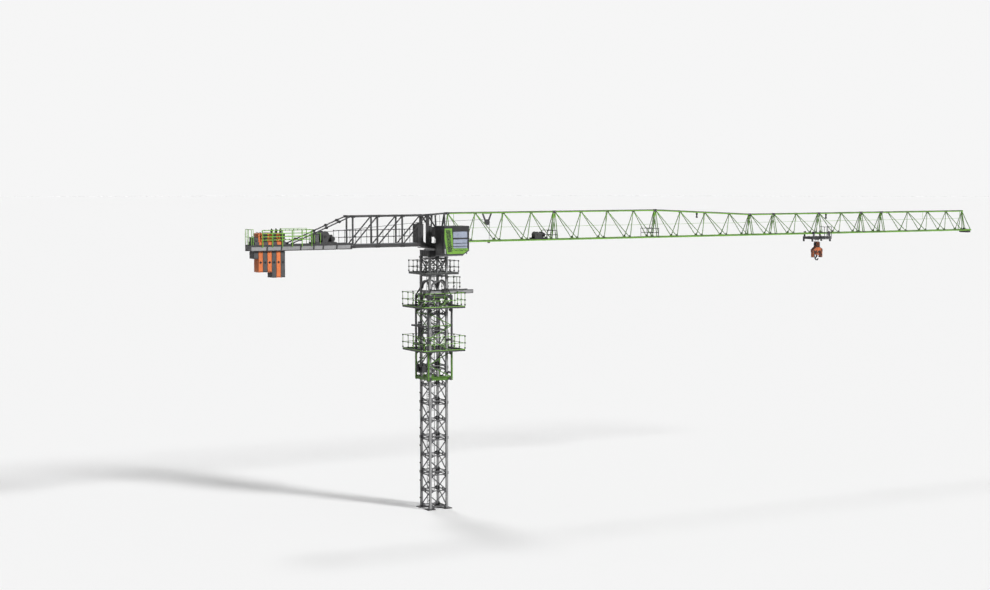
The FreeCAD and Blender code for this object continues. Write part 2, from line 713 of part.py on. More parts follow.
def jib_section(index):
    """One triangular jib section, its chords ending flush at the joint planes."""
    start = JIB_ROOT_X + sum(JIB_LENGTHS[:index])
    length = JIB_LENGTHS[index]
    end = start + length
    last = index == len(JIB_LENGTHS) - 1
    low_end = end + TIP_OVERHANG if last else end
    depth_start = JIB_DEPTH if index < TAPER_SECTION else JIB_TIP_DEPTH
    depth_end = JIB_DEPTH if index + 1 < TAPER_SECTION else JIB_TIP_DEPTH
    half = JIB_WIDTH / 2
    low = JIB_CHORD_Z

    def top_at(x):
        share = (x - start) / length
        return low + depth_start + (depth_end - depth_start) * share

    parts = [beam((start, 0, top_at(start)), (end, 0, top_at(end)), UPPER_CHORD, UPPER_CHORD)]
    for y in (-half, half):
        parts.append(beam((start, y, low), (low_end, y, low), LOWER_CHORD, LOWER_CHORD))
    upper, lower = jib_nodes(start, JIB_BAYS[index])
    inset = CHORD_LUG_LENGTH / 2
    places = [min(max(x, start + inset), end - inset) for x in upper]
    for foot in lower:
        before = max(x for x in places if x < foot)
        after = min(x for x in places if x > foot)
        for y in (-half, half):
            for x in (before, after):
                parts.append(rod((x, 0, top_at(x)), (foot, y, low), JIB_BRACE))
        parts.append(rod((foot, -half, low), (foot, half, low), JIB_BRACE))
    feet = [start + inset] + lower + [end - inset]
    for i in range(len(feet) - 1):
        side = half if i % 2 == 0 else -half
        parts.append(rod((feet[i], -side, low), (feet[i + 1], side, low), JIB_BRACE))
    for x in (start + inset, end - inset):
        parts.append(rod((x, -half, low), (x, half, low), JIB_BRACE))
        for y in (-half, half):
            parts.append(rod((x, 0, top_at(x)), (x, y, low), JIB_BRACE))
    if last:
        edge = LOWER_CHORD / 2
        parts.append(box(low_end - LOWER_CHORD, low_end, -half, half, low - edge, low + edge))
        for y in (-half, half):
            parts.append(rod((end - inset, 0, top_at(end)), (low_end - 30, y, low), JIB_BRACE))
    whole = join(parts)
    if depth_start != depth_end:
        whole = whole.common(box(start, low_end, -half * 2, half * 2, 0, 2 * low))
    return whole


def tip_box():
    """The box for the rope anchorage under the tip of the jib."""
    half = JIB_WIDTH / 2 + LOWER_CHORD / 2
    end = JIB_TIP_X + TIP_OVERHANG - 60.0
    top = JIB_CHORD_Z - LOWER_CHORD / 2
    return box(end - TIP_BOX_LENGTH, end, -half, half, top - TIP_BOX_DEPTH, top)


def trolley_rails():
    """The two rails outside the lower chords."""
    half = JIB_WIDTH / 2 + LOWER_CHORD / 2
    end = JIB_TIP_X + TIP_OVERHANG - RAIL_END_GAP
    z = JIB_CHORD_Z - LOWER_CHORD / 2
    left = box(RAIL_START, end, -half - RAIL_WIDTH, -half, z, z + RAIL_THICK)
    right = box(RAIL_START, end, half, half + RAIL_WIDTH, z, z + RAIL_THICK)
    return [left, right]


def trolley_winch():
    """The trolley winch standing on the lower chords inside the jib."""
    x0 = TROLLEY_WINCH_X
    x1 = x0 + TROLLEY_WINCH_LENGTH
    base = JIB_CHORD_Z + LOWER_CHORD / 2
    half = JIB_WIDTH / 2 + LOWER_CHORD / 2
    floor = base + 20
    axle = floor + 150
    drum = x0 + 150
    parts = [box(x0, x1, -half, half, base, floor)]
    parts.append(cylinder((drum, -120, axle), (drum, 120, axle), 110))
    for y in (-135, 115):
        parts.append(box(drum - 110, drum + 110, y, y + 20, floor, axle + 20))
    parts.append(box(drum + 110, drum + 250, -100, 100, floor, axle + 60))
    parts.append(cylinder((drum + 250, 0, axle), (x1 - 40, 0, axle), 75))
    parts.append(box(drum + 280, x1 - 60, -40, 40, floor, axle))
    return join(parts)


def rope_guide():
    """The guide sheave that hangs from the upper chord near the root of the jib."""
    x = JIB_ROOT_X + JIB_BAY + ROPE_GUIDE_OFFSET
    top = JIB_TOP_Z - UPPER_CHORD / 2
    parts = []
    for side in (-1, 1):
        y = side * 28
        parts.append(beam((x - 190, y, top - 14), (x - 60, y, top - 330), 10, 40))
        parts.append(beam((x + 190, y, top - 14), (x + 60, y, top - 330), 10, 40))
        parts.append(box(x - 90, x + 90, y - 5, y + 5, top - 400, top - 300))
    parts.append(box(x - 220, x + 220, -35, 35, top - 12, top))
    parts.append(cylinder((x, -33, top - 350), (x, 33, top - 350), 110))
    return join(parts)


# ---------------------------------------------------------------- counter-jib

def counter_truss(side):
    """One side truss of the counter-jib's front part."""
    y = side * COUNTER_HALF
    front = -TURNTABLE_HALF
    rear = COUNTER_POSTS[-1] - COUNTER_CHORD / 2
    low = CHORD_Z
    parts = [beam((rear, y, COUNTER_TOP_Z), (front, y, COUNTER_TOP_Z), COUNTER_CHORD, COUNTER_CHORD)]
    parts.append(beam((rear, y, low), (front, y, low), DECK_BEAM_WIDTH, 2 * COUNTER_CHORD))
    places = [min(x, front - COUNTER_POST / 2) for x in COUNTER_POSTS]
    for x in places:
        parts.append(post(x, y, low, COUNTER_TOP_Z, COUNTER_POST))
    for near, far in zip(places, places[1:]):
        parts.append(rod((far, y, low), (near, y, COUNTER_TOP_Z), COUNTER_POST - 8))
    return join(parts)


def counter_front_deck():
    """The walkway plate and cross bars between the two trusses."""
    inner = COUNTER_HALF - DECK_BEAM_WIDTH / 2
    rear = COUNTER_POSTS[-1] - COUNTER_CHORD / 2
    top = CHORD_Z + COUNTER_CHORD
    parts = [box(rear, -TURNTABLE_HALF, -inner, inner, top - DECK_PLATE, top)]
    for x in COUNTER_POSTS:
        x = min(x, -TURNTABLE_HALF - COUNTER_POST)
        parts.append(box(x - 25, x + 25, -inner, inner, CHORD_Z - COUNTER_CHORD, top - DECK_PLATE))
    return join(parts)


def counter_rear_frame():
    """Two deep side beams with cross beams, open where the ballast hangs."""
    front = COUNTER_POSTS[-1] - COUNTER_CHORD / 2
    bottom = DECK_BEAM_TOP - DECK_BEAM_DEPTH
    half = DECK_BEAM_WIDTH / 2
    parts = []
    for side in (-1, 1):
        y = side * COUNTER_HALF
        parts.append(box(COUNTER_END, front, y - half, y + half, bottom, DECK_BEAM_TOP))
    inner = COUNTER_HALF
    weight_front = WEIGHT_REAR + len(WEIGHT_TOPS) * WEIGHT_PITCH
    winch_rear = WINCH_X - WINCH_LENGTH / 2 - 65
    winch_front = WINCH_X + WINCH_LENGTH / 2 + 75
    crosses = [COUNTER_END, WEIGHT_REAR - 90, weight_front + 30, TIE_FOOT_X - 40]
    for x in crosses + [winch_rear, winch_front, front - 80]:
        parts.append(box(x, x + 80, -inner, inner, bottom + 30, DECK_BEAM_TOP - 30))
    floor = box(weight_front + 30, front, -inner, inner, DECK_BEAM_TOP - 30 - DECK_PLATE, DECK_BEAM_TOP - 30)
    parts.append(floor)
    return join(parts)


def tie_bars():
    """Two straight ties from the top of the truss down to the rear frame."""
    solids = []
    rear = COUNTER_POSTS[-1] - COUNTER_CHORD / 2
    for side in (-1, 1):
        y = side * TIE_AT
        lug_top = box(rear - 70, rear, y - 22, y + 22, COUNTER_TOP_Z - 35, COUNTER_TOP_Z + 35)
        lug_foot = box(TIE_FOOT_X - 60, TIE_FOOT_X + 60, y - 22, y + 22, DECK_BEAM_TOP, DECK_BEAM_TOP + 70)
        bar = beam((rear - 35, y, COUNTER_TOP_Z), (TIE_FOOT_X, y, DECK_BEAM_TOP + 40), TIE_WIDTH, TIE_WIDTH)
        solids.append(join([bar, lug_top, lug_foot]))
    return solids


def counter_railings():
    """Green railings round the rear end and along the far side, up to the winch."""
    y = COUNTER_HALF + DECK_BEAM_WIDTH / 2 - RAIL_BAR / 2
    rear = COUNTER_END + RAIL_BAR / 2
    z = DECK_BEAM_TOP
    parts = fence((rear, -y), (rear, y), z, RAILING_HEIGHT, RAIL_BAR, 3)
    parts += fence((rear, -y), (WEIGHT_REAR - 60, -y), z, RAILING_HEIGHT, RAIL_BAR, 2)
    parts += fence((rear, y), (WEIGHT_REAR - 60, y), z, RAILING_HEIGHT, RAIL_BAR, 2)
    weight_front = WEIGHT_REAR + len(WEIGHT_TOPS) * WEIGHT_PITCH
    winch_rear = WINCH_X - WINCH_LENGTH / 2 - 100
    far = fence((weight_front + 60, y), (winch_rear, y), z, RAILING_HEIGHT, RAIL_BAR, 3)
    return [join(parts), join(far)]


def sign_frame():
    """A bare sign frame of bars standing outside the near side beam."""
    y = -COUNTER_HALF - DECK_BEAM_WIDTH / 2 - 15
    low = DECK_BEAM_TOP + BOARD_RISE
    parts = []
    for i in range(4):
        z = low + 15 + i * (BOARD_HEIGHT - 30) / 3
        parts.append(beam((BOARD_REAR, y, z), (BOARD_FRONT, y, z), 30, 30))
    for i in range(6):
        x = BOARD_REAR + 15 + i * (BOARD_FRONT - BOARD_REAR - 30) / 5
        parts.append(post(x, y, DECK_BEAM_TOP - 90, low + BOARD_HEIGHT, 30))
    return join(parts)


def hoist_winch():
    """The bed of the hoist winch with its side plates, motor and gearbox."""
    x0 = WINCH_X - WINCH_LENGTH / 2
    x1 = WINCH_X + WINCH_LENGTH / 2
    base = DECK_BEAM_TOP
    edge = COUNTER_HALF + DECK_BEAM_WIDTH / 2
    inner = DRUM_LENGTH / 2 + MOVING_GAP
    parts = []
    for y in (-1, 1):
        low = min(y * inner, y * (inner + 30))
        high = max(y * inner, y * (inner + 30))
        parts.append(box(WINCH_X - 110, WINCH_X + 110, low, high, base, DRUM_Z + 90))
    for x in (x0, x1 - 60):
        parts.append(box(x, x + 60, -edge, edge, base, base + 50))
    for y in (-1, 1):
        low = min(y * inner, y * (inner + 60))
        high = max(y * inner, y * (inner + 60))
        parts.append(box(x0, x1, low, high, base, base + 50))
    motor_x = x1 - 130
    parts.append(box(motor_x - 60, motor_x + 60, -inner - 40, inner + 40, base, base + 90))
    parts.append(cylinder((motor_x, -inner, base + 170), (motor_x, inner, base + 170), 85))
    body = join(parts)
    hole = cylinder((WINCH_X, -inner - 60, DRUM_Z), (WINCH_X, inner + 60, DRUM_Z), DRUM_SHAFT + SHAFT_GAP)
    return body.cut(hole)


def hoist_drum():
    """The rope drum with its flanges and shaft."""
    half = DRUM_LENGTH / 2
    parts = [cylinder((WINCH_X, -half, DRUM_Z), (WINCH_X, half, DRUM_Z), DRUM_RADIUS)]
    parts.append(cylinder((WINCH_X, -half, DRUM_Z), (WINCH_X, -half + 16, DRUM_Z), DRUM_FLANGE))
    parts.append(cylinder((WINCH_X, half - 16, DRUM_Z), (WINCH_X, half, DRUM_Z), DRUM_FLANGE))
    shaft = half + MOVING_GAP + 30
    parts.append(cylinder((WINCH_X, -shaft, DRUM_Z), (WINCH_X, shaft, DRUM_Z), DRUM_SHAFT))
    return join(parts)


def counterweight(index):
    """One hanging slab with the ears that rest on the side beams."""
    x0 = WEIGHT_REAR + index * WEIGHT_PITCH
    x1 = x0 + WEIGHT_THICK
    slab = box(x0, x1, -WEIGHT_HALF, WEIGHT_HALF, WEIGHT_BOTTOMS[index], WEIGHT_TOPS[index])
    ears = box(x0, x1, -WEIGHT_EAR, WEIGHT_EAR, DECK_BEAM_TOP, DECK_BEAM_TOP + WEIGHT_EAR_DEPTH)
    return join([slab, ears])


def electric_cabinets():
    """Two cabinets on the front deck."""
    z = CHORD_Z + COUNTER_CHORD
    left = box(-820, -560, -200, -5, z, z + CABINET_HEIGHT)
    right = box(-820, -560, 5, 200, z, z + CABINET_HEIGHT)
    return [left, right]


# ---------------------------------------------------------------- cab

def cab_outline(y, inset):
    """The side outline of the cab, from the rear floor edge round to the roof."""
    rear = CAB_REAR + inset
    front = CAB_REAR + CAB_LENGTH - inset
    floor = CAB_FLOOR + inset
    roof = CAB_FLOOR + CAB_HEIGHT - inset
    return [(rear, y, floor), (front - 280, y, floor), (front, y, floor + 170),
            (front, y, floor + 210), (front - 30, y, roof), (rear, y, roof)]


def cab_shell():
    """The hollow cab with window openings in front and on both sides."""
    outer = plate(cab_outline(CAB_INNER, 0), CAB_WIDTH, (0, -1, 0))
    room = plate(cab_outline(CAB_INNER - CAB_WALL, CAB_WALL), CAB_WIDTH - 2 * CAB_WALL, (0, -1, 0))
    shell = outer.cut(room)
    front = CAB_REAR + CAB_LENGTH
    x0 = CAB_REAR + CAB_WINDOW
    z0 = CAB_FLOOR + CAB_SILL
    z1 = CAB_FLOOR + CAB_HEIGHT - CAB_HEAD
    side_window = box(x0, front - 60, CAB_INNER - CAB_WIDTH - 1, CAB_INNER + 1, z0, z1)
    front_window = box(front - 200, front + 1, CAB_INNER - CAB_WIDTH + 50, CAB_INNER - 50, z0, z1)
    return shell.cut([side_window, front_window])


def cab_glass():
    """Panes just inside the window openings: two sides and the front."""
    edge = 10.0
    z0 = CAB_FLOOR + CAB_SILL - edge
    z1 = CAB_FLOOR + CAB_HEIGHT - CAB_HEAD + edge
    front = CAB_REAR + CAB_LENGTH
    near = CAB_INNER - CAB_WIDTH + CAB_WALL
    far = CAB_INNER - CAB_WALL
    x0 = CAB_REAR + CAB_WINDOW - edge
    x1 = front - 60
    side = box(x0, x1, near, near + GLASS_THICK, z0, z1)
    other = box(x0, x1, far - GLASS_THICK, far, z0, z1)
    pane = front - 60
    ahead = box(pane, pane + GLASS_THICK, near + 30, far - 30, z0, z1)
    return [side, other, ahead]


# ---------------------------------------------------------------- trolley and hook

def trolley_frame():
    """The trolley: wheels on the rails, hangers, a lower frame and four end legs."""
    chord = JIB_WIDTH / 2 + LOWER_CHORD / 2
    rail_top = JIB_CHORD_Z - LOWER_CHORD / 2 + RAIL_THICK
    wheel_z = rail_top + WHEEL_RADIUS + MOVING_GAP
    wheel_in = chord + MOVING_GAP + 2
    wheel_out = wheel_in + WHEEL_WIDTH
    outer = HANGER_Y + HANGER_THICK
    top = TROLLEY_BOTTOM + TROLLEY_FRAME
    half = TROLLEY_LENGTH / 2
    parts = []
    for side in (-1, 1):
        for x in (-half + 90, half - 90):
            axle_x = TROLLEY_X + x
            wheel = (axle_x, side * wheel_in, wheel_z)
            parts.append(cylinder(wheel, (axle_x, side * wheel_out, wheel_z), WHEEL_RADIUS))
            parts.append(cylinder(wheel, (axle_x, side * outer, wheel_z), 16))
            y0 = min(side * HANGER_Y, side * outer)
            y1 = max(side * HANGER_Y, side * outer)
            parts.append(box(axle_x - 45, axle_x + 45, y0, y1, TROLLEY_BOTTOM, wheel_z + 40))
        y0 = min(side * (outer - TROLLEY_BAR), side * outer)
        y1 = max(side * (outer - TROLLEY_BAR), side * outer)
        parts.append(box(TROLLEY_X - half, TROLLEY_X + half, y0, y1, TROLLEY_BOTTOM, top))
        for x in (-half, half - TROLLEY_BAR):
            foot = TROLLEY_BOTTOM - TROLLEY_LEG
            parts.append(box(TROLLEY_X + x, TROLLEY_X + x + TROLLEY_BAR, y0, y1, foot, top))
    reach = outer - TROLLEY_BAR / 2
    for x in (-half, -FALL_X - 130, FALL_X + 130 - TROLLEY_BAR, half - TROLLEY_BAR):
        x = TROLLEY_X + x
        parts.append(box(x, x + TROLLEY_BAR, -reach, reach, TROLLEY_BOTTOM, top))
    inner = FALL_X + 130
    for y in (-FALL_Y - 40, FALL_Y + 10):
        parts.append(box(TROLLEY_X - inner, TROLLEY_X + inner, y, y + 30, TROLLEY_BOTTOM, top))
    for x in (-FALL_X, FALL_X):
        wheel = cylinder((TROLLEY_X + x, -FALL_Y - 10, TROLLEY_BOTTOM + 20),
                         (TROLLEY_X + x, FALL_Y + 10, TROLLEY_BOTTOM + 20), 62)
        parts.append(wheel)
    return join(parts)


def trolley_basket():
    """The maintenance basket outside the front end of the trolley."""
    inner = HANGER_Y + HANGER_THICK
    outer = inner + 320
    floor = TROLLEY_BOTTOM
    x1 = TROLLEY_X + TROLLEY_LENGTH / 2 - 230
    x0 = x1 - 420
    edge = RAIL_BAR / 2
    parts = [box(x0, x1, -outer, -inner, floor, floor + 20)]
    z = floor + 20
    parts += fence((x0 + edge, -outer + edge), (x1 - edge, -outer + edge), z, 540, RAIL_BAR, 3)
    parts += fence((x0 + edge, -outer + edge), (x0 + edge, -inner - edge), z, 540, RAIL_BAR, 2)
    parts += fence((x1 - edge, -outer + edge), (x1 - edge, -inner - edge), z, 540, RAIL_BAR, 2)
    return join(parts)


def hoist_ropes():
    """The rope falls between trolley and hook block."""
    top = TROLLEY_BOTTOM - 45
    solids = []
    for x in (-FALL_X, FALL_X):
        for y in (-FALL_Y, FALL_Y):
            start = (TROLLEY_X + x, y, HOOK_TOP)
            solids.append(cylinder(start, (TROLLEY_X + x, y, top), ROPE_RADIUS))
    return solids


def hook_block():
    """The narrow head with its sheaves, and a crosspiece with two outer sheave arms."""
    shoulder = HEAD_DEPTH
    low = HEAD_DEPTH + CROSS_DEPTH
    arm_in = BLOCK_HALF - ARM_WIDTH
    head = [(-60, 0), (60, 0), (100, -60), (100, -shoulder - 40), (-100, -shoulder - 40), (-100, -60)]
    cross = [(-100, 40 - shoulder), (100, 40 - shoulder), (BLOCK_HALF, -shoulder - 60),
             (BLOCK_HALF, -shoulder - 160), (arm_in, -shoulder - 160), (110, -shoulder - 120),
             (-110, -shoulder - 120), (-arm_in, -shoulder - 160), (-BLOCK_HALF, -shoulder - 160),
             (-BLOCK_HALF, -shoulder - 60)]
    half = CHEEK_GAP / 2
    wide = half + CHEEK_THICK
    parts = []
    for outline in (head, cross):
        for y in (-wide, half):
            points = [(TROLLEY_X + x, y, HOOK_TOP + z) for x, z in outline]
            parts.append(plate(points, CHEEK_THICK, (0, 1, 0)))
    top = HOOK_TOP - shoulder
    parts.append(cylinder((TROLLEY_X, -half, HOOK_TOP - 110), (TROLLEY_X, half, HOOK_TOP - 110), 85))
    parts.append(box(TROLLEY_X - 70, TROLLEY_X + 70, -half, half, top - 110, HOOK_TOP - 180))
    parts.append(box(TROLLEY_X - arm_in - 10, TROLLEY_X + arm_in + 10, -half, half, top - 120, top - 60))
    parts.append(box(TROLLEY_X - 50, TROLLEY_X + 50, -half, half, HOOK_TOP - low, top - 100))
    for side in (-1, 1):
        x0 = TROLLEY_X + min(side * BLOCK_HALF, side * arm_in)
        parts.append(box(x0, x0 + ARM_WIDTH, -wide, wide, top - ARM_DEPTH, top - 70))
    body = join(parts)
    bore = SHANK_RADIUS + SHAFT_GAP
    hole = cylinder((TROLLEY_X, 0, BLOCK_BOTTOM - 1), (TROLLEY_X, 0, BLOCK_BOTTOM + SHANK_LENGTH), bore)
    return body.cut(hole)


def hook():
    """The hook with its shank."""
    outer = HOOK_EYE + HOOK_BAR
    z = BLOCK_BOTTOM - MOVING_GAP - 60 - outer
    half = HOOK_THICK / 2
    body = cylinder((TROLLEY_X, -half, z), (TROLLEY_X, half, z), outer)
    eye = cylinder((TROLLEY_X, -half - 1, z), (TROLLEY_X, half + 1, z), HOOK_EYE)
    mouth = box(TROLLEY_X + 8, TROLLEY_X + outer + 1, -half - 1, half + 1, z - 8, z + outer + 1)
    body = body.cut([eye, mouth])
    top = BLOCK_BOTTOM - MOVING_GAP
    neck = box(TROLLEY_X - 26, TROLLEY_X + 26, -half, half, z + HOOK_EYE + 6, top)
    shank = cylinder((TROLLEY_X, 0, top), (TROLLEY_X, 0, BLOCK_BOTTOM + SHANK_LENGTH - 3), SHANK_RADIUS)
    return join([body, neck, shank])


def main():
    os.makedirs("parts", exist_ok=True)
    write("base_frame", base_frame())
    for i in range(SECTION_COUNT):
        write("mast_section_%d" % (i + 1), mast_section(i))
    write("mast_ladder", mast_ladder())
    write("cage_left_side", cage_side(-1))
    write("cage_right_side", cage_side(1))
    write("cage_rear_side", cage_rear())
    write("cage_bottom_frame", cage_bottom_frame())
    write("cage_head", cage_head())
    write("cage_lower_platform", lower_platform())
    upper = ring_platform(PLATFORM_HALF, CAGE_OUTER, UPPER_PLATFORM_Z, RAILING_HEIGHT, GATE_HALF)
    write("cage_upper_platform", upper)
    write("climbing_cylinder", climbing_cylinder())
    write("climbing_yoke", climbing_yoke())
    write("hydraulic_power_pack", power_pack())
    write("introduction_rails", introduction_rails())
    write("introduction_platform", introduction_platform())
    write("support_section", support_section())
    write("support_platform", ring_platform(SUPPORT_PLATFORM_HALF, POST_AT + MAST_POST / 2,
                                            SUPPORT_PLATFORM_Z, SUPPORT_RAILING, 0))
    write("slew_box", slew_box())
    write("slew_ring_fixed", ring(RING_OUTER, RING_SPLIT, SLEW_BOX_TOP, SLEW_BOX_TOP + RING_HEIGHT))
    moving_low = SLEW_BOX_TOP + MOVING_GAP
    write("slew_ring_moving", ring(RING_SPLIT - MOVING_GAP, RING_INNER, moving_low, TURNTABLE_Z))
    write("turntable", turntable())
    write_set("slew_motors", slew_motors())
    write("tower_head", tower_head())
    for i in range(len(JIB_LENGTHS)):
        write("jib_section_%d" % (i + 1), jib_section(i))
    write_set("trolley_rails", trolley_rails())
    write("trolley_winch", trolley_winch())
    write("tip_box", tip_box())
    write("rope_guide", rope_guide())
    write("counter_truss_left", counter_truss(-1))
    write("counter_truss_right", counter_truss(1))
    write("counter_front_deck", counter_front_deck())
    write("counter_rear_frame", counter_rear_frame())
    write_set("tie_bars", tie_bars())
    write_set("counter_railings", counter_railings())
    write("sign_frame", sign_frame())
    write("hoist_winch", hoist_winch())
    write("hoist_drum", hoist_drum())
    write_set("counterweights_grey", [counterweight(i) for i in (0, 2, 4, 6)])
    write_set("counterweights_orange", [counterweight(i) for i in (1, 3, 5)])
    write_set("electric_cabinets", electric_cabinets())
    write("cab_shell", cab_shell())
    write_set("cab_glass", cab_glass())
    write("trolley_frame", trolley_frame())
    write("trolley_basket", trolley_basket())
    write_set("hoist_ropes", hoist_ropes())
    write("hook_block", hook_block())
    write("hook", hook())


main()
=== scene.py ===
"""Looks of the half-size tower crane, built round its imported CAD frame. Metres, +X along the jib, +Z up."""

import json
import random
from math import copysign, cos, pi, radians, sin

import bpy
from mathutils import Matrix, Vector


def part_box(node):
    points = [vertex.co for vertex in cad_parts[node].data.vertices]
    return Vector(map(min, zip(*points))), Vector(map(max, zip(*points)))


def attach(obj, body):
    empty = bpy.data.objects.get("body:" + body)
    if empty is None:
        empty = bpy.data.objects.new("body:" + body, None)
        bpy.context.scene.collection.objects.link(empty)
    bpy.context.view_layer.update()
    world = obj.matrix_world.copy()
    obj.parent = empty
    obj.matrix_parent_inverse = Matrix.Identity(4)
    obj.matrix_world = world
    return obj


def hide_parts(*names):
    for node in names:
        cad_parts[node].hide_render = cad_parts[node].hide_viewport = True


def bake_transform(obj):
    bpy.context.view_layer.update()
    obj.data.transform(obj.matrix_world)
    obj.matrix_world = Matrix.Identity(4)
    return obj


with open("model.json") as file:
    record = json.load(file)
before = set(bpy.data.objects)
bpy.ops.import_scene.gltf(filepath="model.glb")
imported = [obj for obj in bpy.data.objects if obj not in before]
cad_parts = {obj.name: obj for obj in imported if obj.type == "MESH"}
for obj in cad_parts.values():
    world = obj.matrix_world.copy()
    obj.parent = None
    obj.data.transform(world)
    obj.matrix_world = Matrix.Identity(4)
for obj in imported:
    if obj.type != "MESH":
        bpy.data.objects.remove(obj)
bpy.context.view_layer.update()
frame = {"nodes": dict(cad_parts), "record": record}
nodes = frame["nodes"]
random.seed(11)


# ---------------------------------------------------------------- mesh helpers

def across(start, end, flat=1e-4, spare=(0, 1, 0)):
    """Two directions square to the line between two points: sideways, and as near upright as it can be."""
    along = (end - start).normalized()
    side = along.cross(Vector((0, 0, 1)))
    if side.length < flat:
        side = Vector(spare)
    side.normalize()
    return side, side.cross(along)


def turned(axis, along, u, v):
    """A vector with one part along an axis, 0 for X, 1 for Y, 2 for Z, and two square to it."""
    return Vector(((along, u, v), (u, along, v), (u, v, along))[axis])


def about(middle, half):
    """The two limits of a span about its middle."""
    return middle - half, middle + half


def circle(count):
    """Angles evenly spaced round a full turn."""
    return [2 * pi * i / count for i in range(count)]


class Build:
    """Collects simple solids into one mesh."""

    def __init__(self):
        self.verts = []
        self.faces = []

    def add(self, verts, faces):
        base = len(self.verts)
        self.verts += [tuple(v) for v in verts]
        self.faces += [tuple(base + i for i in f) for f in faces]

    def skin(self, verts, sides):
        """A closed skin over rings of points, with a face at each end."""
        last = len(verts) - sides
        faces = [tuple(range(sides)), tuple(reversed(range(last, last + sides)))]
        for i in range(0, last, sides):
            for k in range(sides):
                n = (k + 1) % sides
                faces.append((i + n, i + k, i + sides + k, i + sides + n))
        self.add(verts, faces)

    def turning(self, verts, count, n, closed):
        """A skin over profiles of n points set round a full turn."""
        faces = []
        for i in range(count):
            j = (i + 1) % count
            for k in range(n if closed else n - 1):
                m = (k + 1) % n
                faces.append((i * n + k, i * n + m, j * n + m, j * n + k))
        self.add(verts, faces)

    def box(self, x0, x1, y0, y1, z0, z1):
        """A box between limits, each pair in either order."""
        (x0, x1), (y0, y1), (z0, z1) = sorted((x0, x1)), sorted((y0, y1)), sorted((z0, z1))
        v = [(x0, y0, z0), (x1, y0, z0), (x1, y1, z0), (x0, y1, z0),
             (x0, y0, z1), (x1, y0, z1), (x1, y1, z1), (x0, y1, z1)]
        self.add(v, [(0, 3, 2, 1), (4, 5, 6, 7), (0, 1, 5, 4), (1, 2, 6, 5), (2, 3, 7, 6), (3, 0, 4, 7)])

    def boxes(self, *rows):
        """A box for each row of limits."""
        for row in rows:
            self.box(*row)

    def block(self, center, half):
        """A box about a centre."""
        self.box(*(c + way * h for c, h in zip(center, half) for way in (-1, 1)))

    def prism(self, start, end, radius, sides=8, end_radius=None):
        """A closed bar of the given number of sides between two points."""
        a, b = Vector(start), Vector(end)
        side, up = across(a, b)
        verts = []
        for p, r in ((a, radius), (b, radius if end_radius is None else end_radius)):
            verts += [p + side * (r * cos(t)) + up * (r * sin(t)) for t in circle(sides)]
        self.skin(verts, sides)

    def pin(self, x, y0, y1, z, *shape):
        """A prism across the crane."""
        self.prism((x, y0, z), (x, y1, z), *shape)

    def post(self, x, y, z0, z1, *shape):
        """An upright prism."""
        self.prism((x, y, z0), (x, y, z1), *shape)

    def bar(self, start, end, width, depth):
        """A rectangular bar, width sideways and depth as near upright as it can be."""
        a, b = Vector(start), Vector(end)
        side, up = across(a, b)
        verts = [p + side * (s * width / 2) + up * (t * depth / 2)
                 for p in (a, b) for s, t in ((-1, -1), (1, -1), (1, 1), (-1, 1))]
        self.skin(verts, 4)

    def tube(self, points, radius, sides=6):
        """A round bar through several points, as one closed skin."""
        pts = [Vector(p) for p in points]
        verts = []
        for i, p in enumerate(pts):
            before, after = pts[max(i - 1, 0)], pts[min(i + 1, len(pts) - 1)]
            along = (after - before).normalized()
            side, up = across(before, after, 1e-3, along.cross(Vector((0, 1, 0))))
            verts += [p + side * (radius * cos(t)) + up * (radius * sin(t)) for t in circle(sides)]
        self.skin(verts, sides)

    def loop(self, center, axis, radius, bar, count=20, sides=6, start=0.0, sweep=2 * pi):
        """A round bar bent to a circle or an arc about an axis: 0 for X, 1 for Y, 2 for Z."""
        closed = sweep >= 2 * pi - 1e-6
        angles = [start + sweep * i / count for i in range(count if closed else count + 1)]
        pts = [Vector(center) + turned(axis, 0, radius * cos(t), radius * sin(t)) for t in angles]
        if not closed:
            self.tube(pts, bar, sides)
            return
        normal = turned(axis, 1, 0, 0)
        verts = []
        for p in pts:
            out = (p - Vector(center)).normalized()
            verts += [p + out * (bar * cos(a)) + normal * (bar * sin(a)) for a in circle(sides)]
        self.turning(verts, count, sides, True)

    def wheel(self, center, radius, width, axis=1, groove=0.0, hub=0.0, count=28):
        """A wheel or sheave turned from a profile, grooved and dished if asked."""
        half = width / 2
        rim = radius - groove
        web = max(radius * 0.72, hub)
        bore = hub or radius * 0.25
        profile = [(0, -half), (bore, -half), (bore, -half * 0.45), (web, -half * 0.45), (web, -half),
                   (radius, -half), (radius, -half * 0.7), (rim, -half * 0.2)]
        profile += [(r, -w) for r, w in reversed(profile)]
        verts = []
        for t in circle(count):
            for r, w in profile:
                r = max(r, 1e-5)
                verts.append(Vector(center) + turned(axis, w, r * cos(t), r * sin(t)))
        self.turning(verts, count, len(profile), False)

    def plate(self, points, thick):
        """A flat plate with the given outline through its middle, its thickness given as a vector."""
        half = Vector(thick) / 2
        self.skin([Vector(p) - half for p in points] + [Vector(p) + half for p in points], len(points))

    def flat(self, y, outline, thick):
        """A plate square to Y, its outline given in X and Z."""
        self.plate([(x, y, z) for x, z in outline], (0, thick, 0))

    def gusset(self, outline, face, along_x, thick=0.012):
        """A plate standing on a side of the mast."""
        points = [(u, face, w) if along_x else (face, u, w) for u, w in outline]
        self.plate(points, (0, thick, 0) if along_x else (thick, 0, 0))

    def disc(self, center, radius, depth, turn=0.0, sides=8):
        """A slightly oval stud standing on a face across Y."""
        x, y, z = center
        outline = []
        for t in circle(sides):
            u, w = radius * cos(t), 0.7 * radius * sin(t)
            outline.append((x + u * cos(turn) - w * sin(turn),
                            z + u * sin(turn) + w * cos(turn)))
        self.flat(y + depth / 2, outline, depth)

